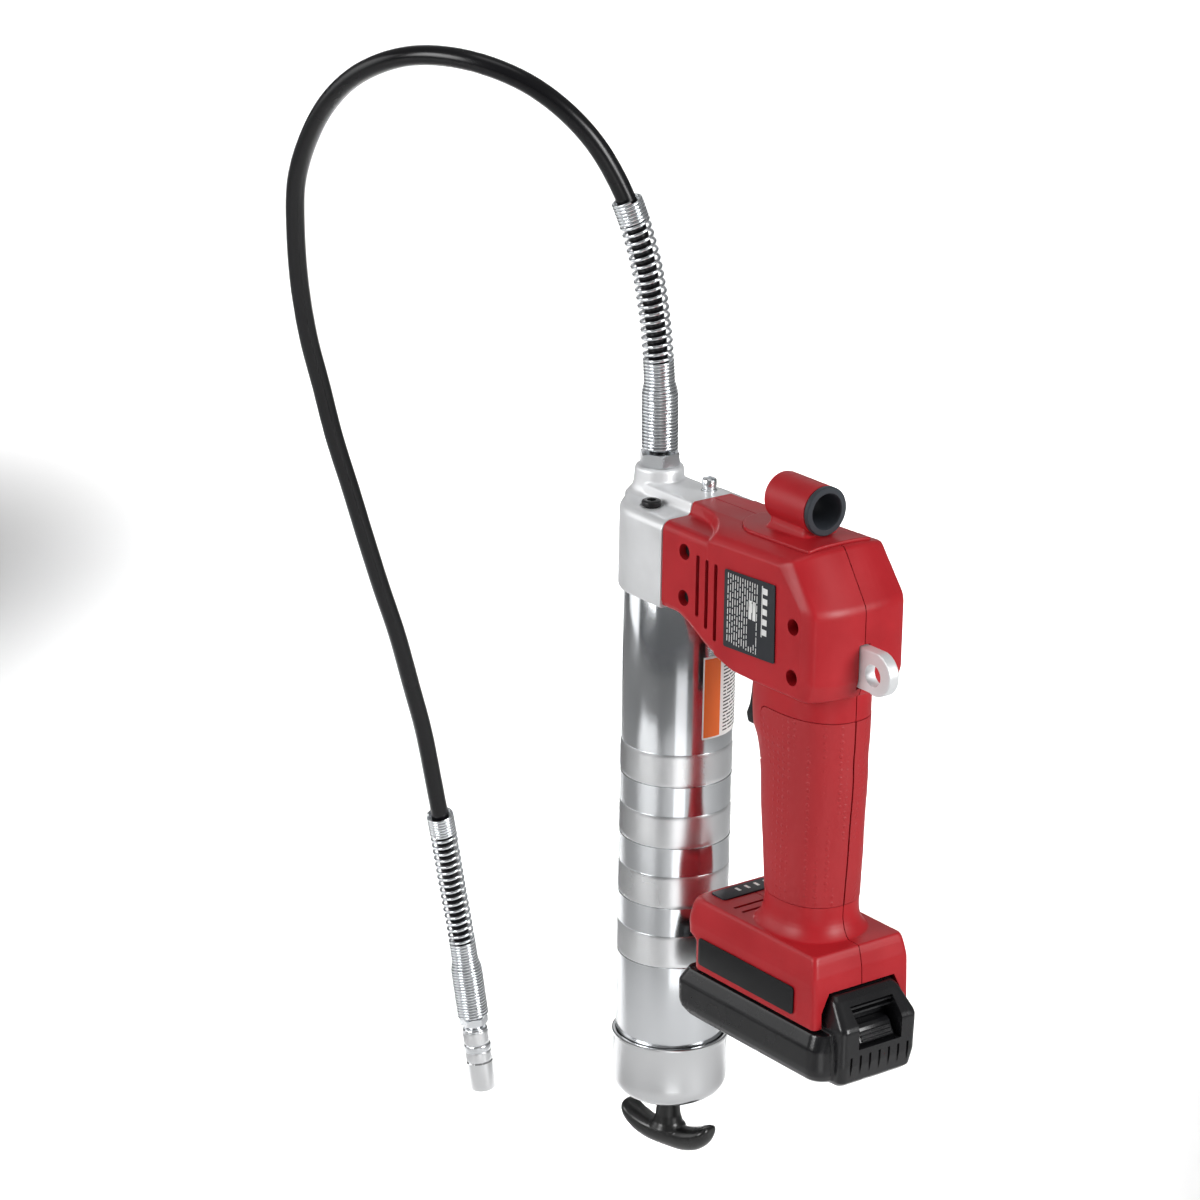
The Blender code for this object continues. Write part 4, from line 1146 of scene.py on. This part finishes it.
class Line:
    """The hose's centre line with a frame that doesn't twist."""

    def __init__(self, steps=400):
        self.points = smooth_route(steps)
        self.length = distances(self.points)[-1]
        self.step = self.length / steps
        self.frames = []
        across = Vector((1, 0, 0))
        for i in range(steps + 1):
            low = self.points[max(i - 1, 0)]
            high = self.points[min(i + 1, steps)]
            forward = (high - low).normalized()
            across = (across - forward * across.dot(forward)).normalized()
            self.frames.append((forward, across.copy(), forward.cross(across)))

    def at(self, distance, radius, turn):
        """Return the point at a distance along, a radius out and a turn round the line."""
        place = min(max(distance / self.step, 0.0), len(self.points) - 1.001)
        i = int(place)
        centre = self.points[i].lerp(self.points[i + 1], place - i)
        _, across, other = self.frames[i]
        return centre + radius * (math.cos(turn) * across + math.sin(turn) * other)


LINE = Line()


def piped(name, points, radius, smooth, look):
    """Make a round tube along a line of points; smooth is the fineness of its section."""
    curve = bpy.data.curves.new(name, "CURVE")
    curve.dimensions = "3D"
    curve.bevel_depth = radius * MM
    curve.bevel_resolution = smooth
    curve.use_fill_caps = True
    spline = curve.splines.new("POLY")
    spline.points.add(len(points) - 1)
    for point, place in zip(spline.points, points):
        point.co = (*(place * MM), 1.0)
    curve.materials.append(LOOK[look])
    return add(name, curve)


def wire(name, stations, node):
    """Make a coiled guard from (distance, coil radius, pitch) stations."""
    points = []
    turn = 0.0
    for (s0, r0, p0), (s1, r1, p1) in zip(stations, stations[1:]):
        s = s0
        while s < s1:
            share = (s - s0) / (s1 - s0)
            radius = r0 + (r1 - r0) * share
            pitch = p0 + (p1 - p0) * share
            points.append(LINE.at(s, radius, turn))
            turn += math.tau / TURN_STEPS
            s += pitch / TURN_STEPS
    return attach(piped(name, points, WIRE_R, 2, "steel"), "gun", "bright_steel", node)


def sleeve(name, stations, look, node, sides=40):
    """Make a turned tube on the hose from (distance, radius) pairs round its section."""
    rings = [[LINE.at(s, r, math.tau * i / sides) for i in range(sides)] for s, r in stations]
    return finish(raw(name, hoop(rings)), look, "gun", "bright_steel", node)


def make_coupler():
    end = LINE.points[-1]
    forward = LINE.frames[-1][0]

    def turned(name, bm, look, *nodes):
        return finish(raw(name, placed(bm, end, forward)), look, "gun", "bright_steel", *nodes)

    hexagon = raw("guide", bar((0, 0, 0.4), (0, 0, 5.2), 8.4, 6))
    cone = [(0, -4), (7.0, 0.2), (8.6, 1.6), (8.6, 4.2), (7.2, 5.4), (0, 8)]
    combine(hexagon, "INTERSECT", lathe(cone, 64))
    combine(hexagon, "UNION", bar((0, 0, 4), (0, 0, 12), 5.0))
    cut(hexagon, bar((0, 0, -1), (0, 0, 14), 1.6))
    hexagon.data.transform(stance(end * MM, forward))
    hexagon.name = "coupler_hex"
    pieces = [finish(hexagon, "steel", "gun", "bright_steel", "coupler_adapter", angle=25)]
    body = [
        (6.6, 7.0), (7.3, 7.6), (7.4, 8.2), (7.4, 17.0), (8.0, 17.6), (8.1, 18.2), (8.1, 20.2),
        (8.0, 20.8), (7.4, 21.4), (7.4, 28.0), (5.6, 28.0), (5.6, 34.0), (2.0, 34.0), (2.0, 12.4),
        (5.3, 12.4), (5.3, 7.0),
    ]
    pieces.append(turned("coupler_barrel", lathe(body, 72, ring=True), "steel", "coupler_body"))
    for number, (top, height) in enumerate(((16.4, 7.6), (27.8, 6.0)), 1):
        pieces.append(turned(f"coupler_knurl_{number}", knurled(7.5, height, top, 1.15, 0.35), "knurl"))
    shell = [
        (7.3, 28.2), (7.9, 28.9), (7.95, 44.8), (7.5, 46.1), (6.9, 46.5), (4.9, 46.5),
        (5.4, 44.0), (5.9, 42.0), (5.9, 28.2),
    ]
    pieces.append(turned("coupler_shell", lathe(shell, 72, ring=True), "chrome", "coupler_sleeve"))
    return pieces


def make_hose():
    hose = piped("whip_hose", LINE.points[::2], HOSE_R, 8, "hose")
    attach(hose, "gun", "hose_black", "hose")

    close = 2 * WIRE_R + 0.05
    wide, slim = 9.4 - WIRE_R, 8.0 - WIRE_R
    coils = [
        (1.0, wide, close), (30.0, wide, close), (36.0, slim, close), (46.0, slim, close),
        (52.0, slim, 4.3), (118.0, slim, 4.3), (122.0, slim, close), (133.0, slim, close),
    ]
    total = LINE.length
    far = [(total - s, r, p) for s, r, p in reversed(coils)]
    guards = [
        wire("guard_coil_head", coils, "hose_guard_head"),
        wire("guard_coil_end", far, "hose_guard_end"),
    ]
    crimp = [
        (0.8, 7.0), (1.4, 7.3), (8, 7.3), (8.5, 6.9), (9.5, 6.9), (10, 7.3), (26, 7.3),
        (26.8, 6.8), (27, 5.15), (0.8, 5.15),
    ]
    far_crimp = [(total - s, r) for s, r in crimp]
    ferrules = [
        sleeve("crimp_head", crimp, "steel", "hose_ferrule_head"),
        sleeve("crimp_end", far_crimp, "steel", "hose_ferrule_end"),
    ]
    with_pieces = guards + ferrules + make_coupler()
    with_pieces += [NODES[f"coupler_jaw_{n}"] for n in (1, 2, 3)]


# Parts that keep their CAD shape


def dress_nodes():
    looks = {
        "oxide": [name for name in NODES if "screw" in name or "coupler_jaw" in name],
        "steel": ["motor_can", "crank", "pump_yoke", "follower_plate", "follower_spring"],
        "alloy": ["gearbox_case"],
        "black": ["rod_bushing", "trigger_switch", "terminal_block"],
        "seal": ["follower_cup", "cartridge_gasket"],
        "board": ["control_board"],
        "wrap": ["cell_1", "cell_2", "cell_3", "cell_4"],
    }
    looks["oxide"].append("motor_rotor")
    for look, names in looks.items():
        for name in names:
            paint(NODES[name], look)


# Camera, light and floor


def make_camera():
    camera = add("camera", bpy.data.cameras.new("camera"))
    camera.data.lens = CAMERA_LENS
    camera.data.sensor_width = SENSOR
    turn = Matrix((CAMERA_RIGHT, CAMERA_UP, CAMERA_BACK)).transposed().to_4x4()
    camera.matrix_world = Matrix.Translation(Vector(CAMERA_AT)) @ turn
    bpy.context.scene.camera = camera


def area_light(name, at, target, size, power, spread=180, turn=0):
    """Hang a soft light; spread narrows its beam and turn swings one that points straight down."""
    data = bpy.data.lights.new(name, "AREA")
    data.shape = "RECTANGLE"
    data.size, data.size_y = size
    data.energy = power
    data.spread = math.radians(spread)
    light = add(name, data)
    light.location = at
    aim = Vector(at) - Vector(target)
    light.rotation_euler = aim.to_track_quat("Z", "Y").to_euler()
    light.rotation_euler.rotate_axis("Z", math.radians(turn))


def make_floor():
    made, tree, shader = new_material("floor_pale", (0.9, 0.9, 0.9), 0.6)
    tint = tinted(tree, noise(tree, 3.0), (0.89, 0.89, 0.89), (0.91, 0.91, 0.91))
    tree.links.new(tint, shader.inputs["Base Color"])
    bm = bmesh.new()
    bmesh.ops.create_grid(bm, x_segments=1, y_segments=1, size=FLOOR_HALF)
    mesh = bpy.data.meshes.new("floor")
    bm.to_mesh(mesh)
    bm.free()
    mesh.materials.append(made)
    floor = add("floor", mesh)
    floor.location = (0, 0, FLOOR)


def make_world():
    """Light the scene a little from all round, most from above."""
    world = bpy.data.worlds.new("studio")
    world.use_nodes = True
    tree = world.node_tree
    around = add_node(tree, "TexCoord").outputs["Generated"]
    parts = add_node(tree, "SeparateXYZ", Vector=around)
    height = mapped(tree, parts.outputs["Z"], -1.0, 1.0, 0.0, 1.0)
    sky = tinted(tree, height, (0.45, 0.46, 0.48), (1.0, 1.0, 1.0), 0.45, 0.9)
    background = tree.nodes["Background"]
    background.inputs["Strength"].default_value = WORLD_POWER
    tree.links.new(sky, background.inputs["Color"])
    bpy.context.scene.world = world


def make_lights():
    area_light("back_near", (-1.12, 0.80, 1.2), (-1.12, 0.80, FLOOR), (1.05, 2.0), 12, 22, 37)
    area_light("back_far", (-3.11, 2.31, 1.2), (-3.11, 2.31, FLOOR), (2.8, 3.6), 50, 30, 37)
    area_light("front_floor", (1.25, -0.95, 0.1), (1.25, -0.95, FLOOR), (1.2, 1.2), 2.0, 60)
    area_light("left_floor", (-0.25, -1.65, 0.1), (-0.25, -1.65, FLOOR), (1.2, 0.9), 3.6, 40)
    area_light("key", (1.9, 0.6, 0.55), (0.05, 0, 0.0), (0.8, 1.0), 13, 110)
    area_light("side", (-0.3, -1.95, 0.75), (0, 0, 0.0), (0.9, 1.0), 5.2, 80)
    area_light("panel", (-1.15, -0.95, 0.3), (0, 0, 0.0), (0.9, 0.9), 0.7, 70)
    area_light("top", (0.1, -0.1, 1.8), (0, 0, 0), (0.9, 0.9), 0.4, 60)
    area_light("rear", (-1.5, 1.15, 0.8), (0, 0, 0), (1.6, 1.0), 2.4)
    area_light("strip", (0.68, -0.40, -0.38), (0.0, 0.0, -0.12), (0.32, 0.62), 0.5)
    bpy.context.scene.view_settings.view_transform = "Standard"


def main():
    make_camera()
    make_floor()
    make_world()
    make_lights()
    make_hose()
    make_barrel()
    make_end_cap()
    make_handle()
    make_pump_head()
    make_head_fittings()
    make_housing()
    make_pads()
    make_holder()
    make_strap_eye()
    make_trigger()
    make_spec_label()
    make_badges()
    make_barrel_label()
    make_gauge()
    make_battery()
    dress_nodes()


main()
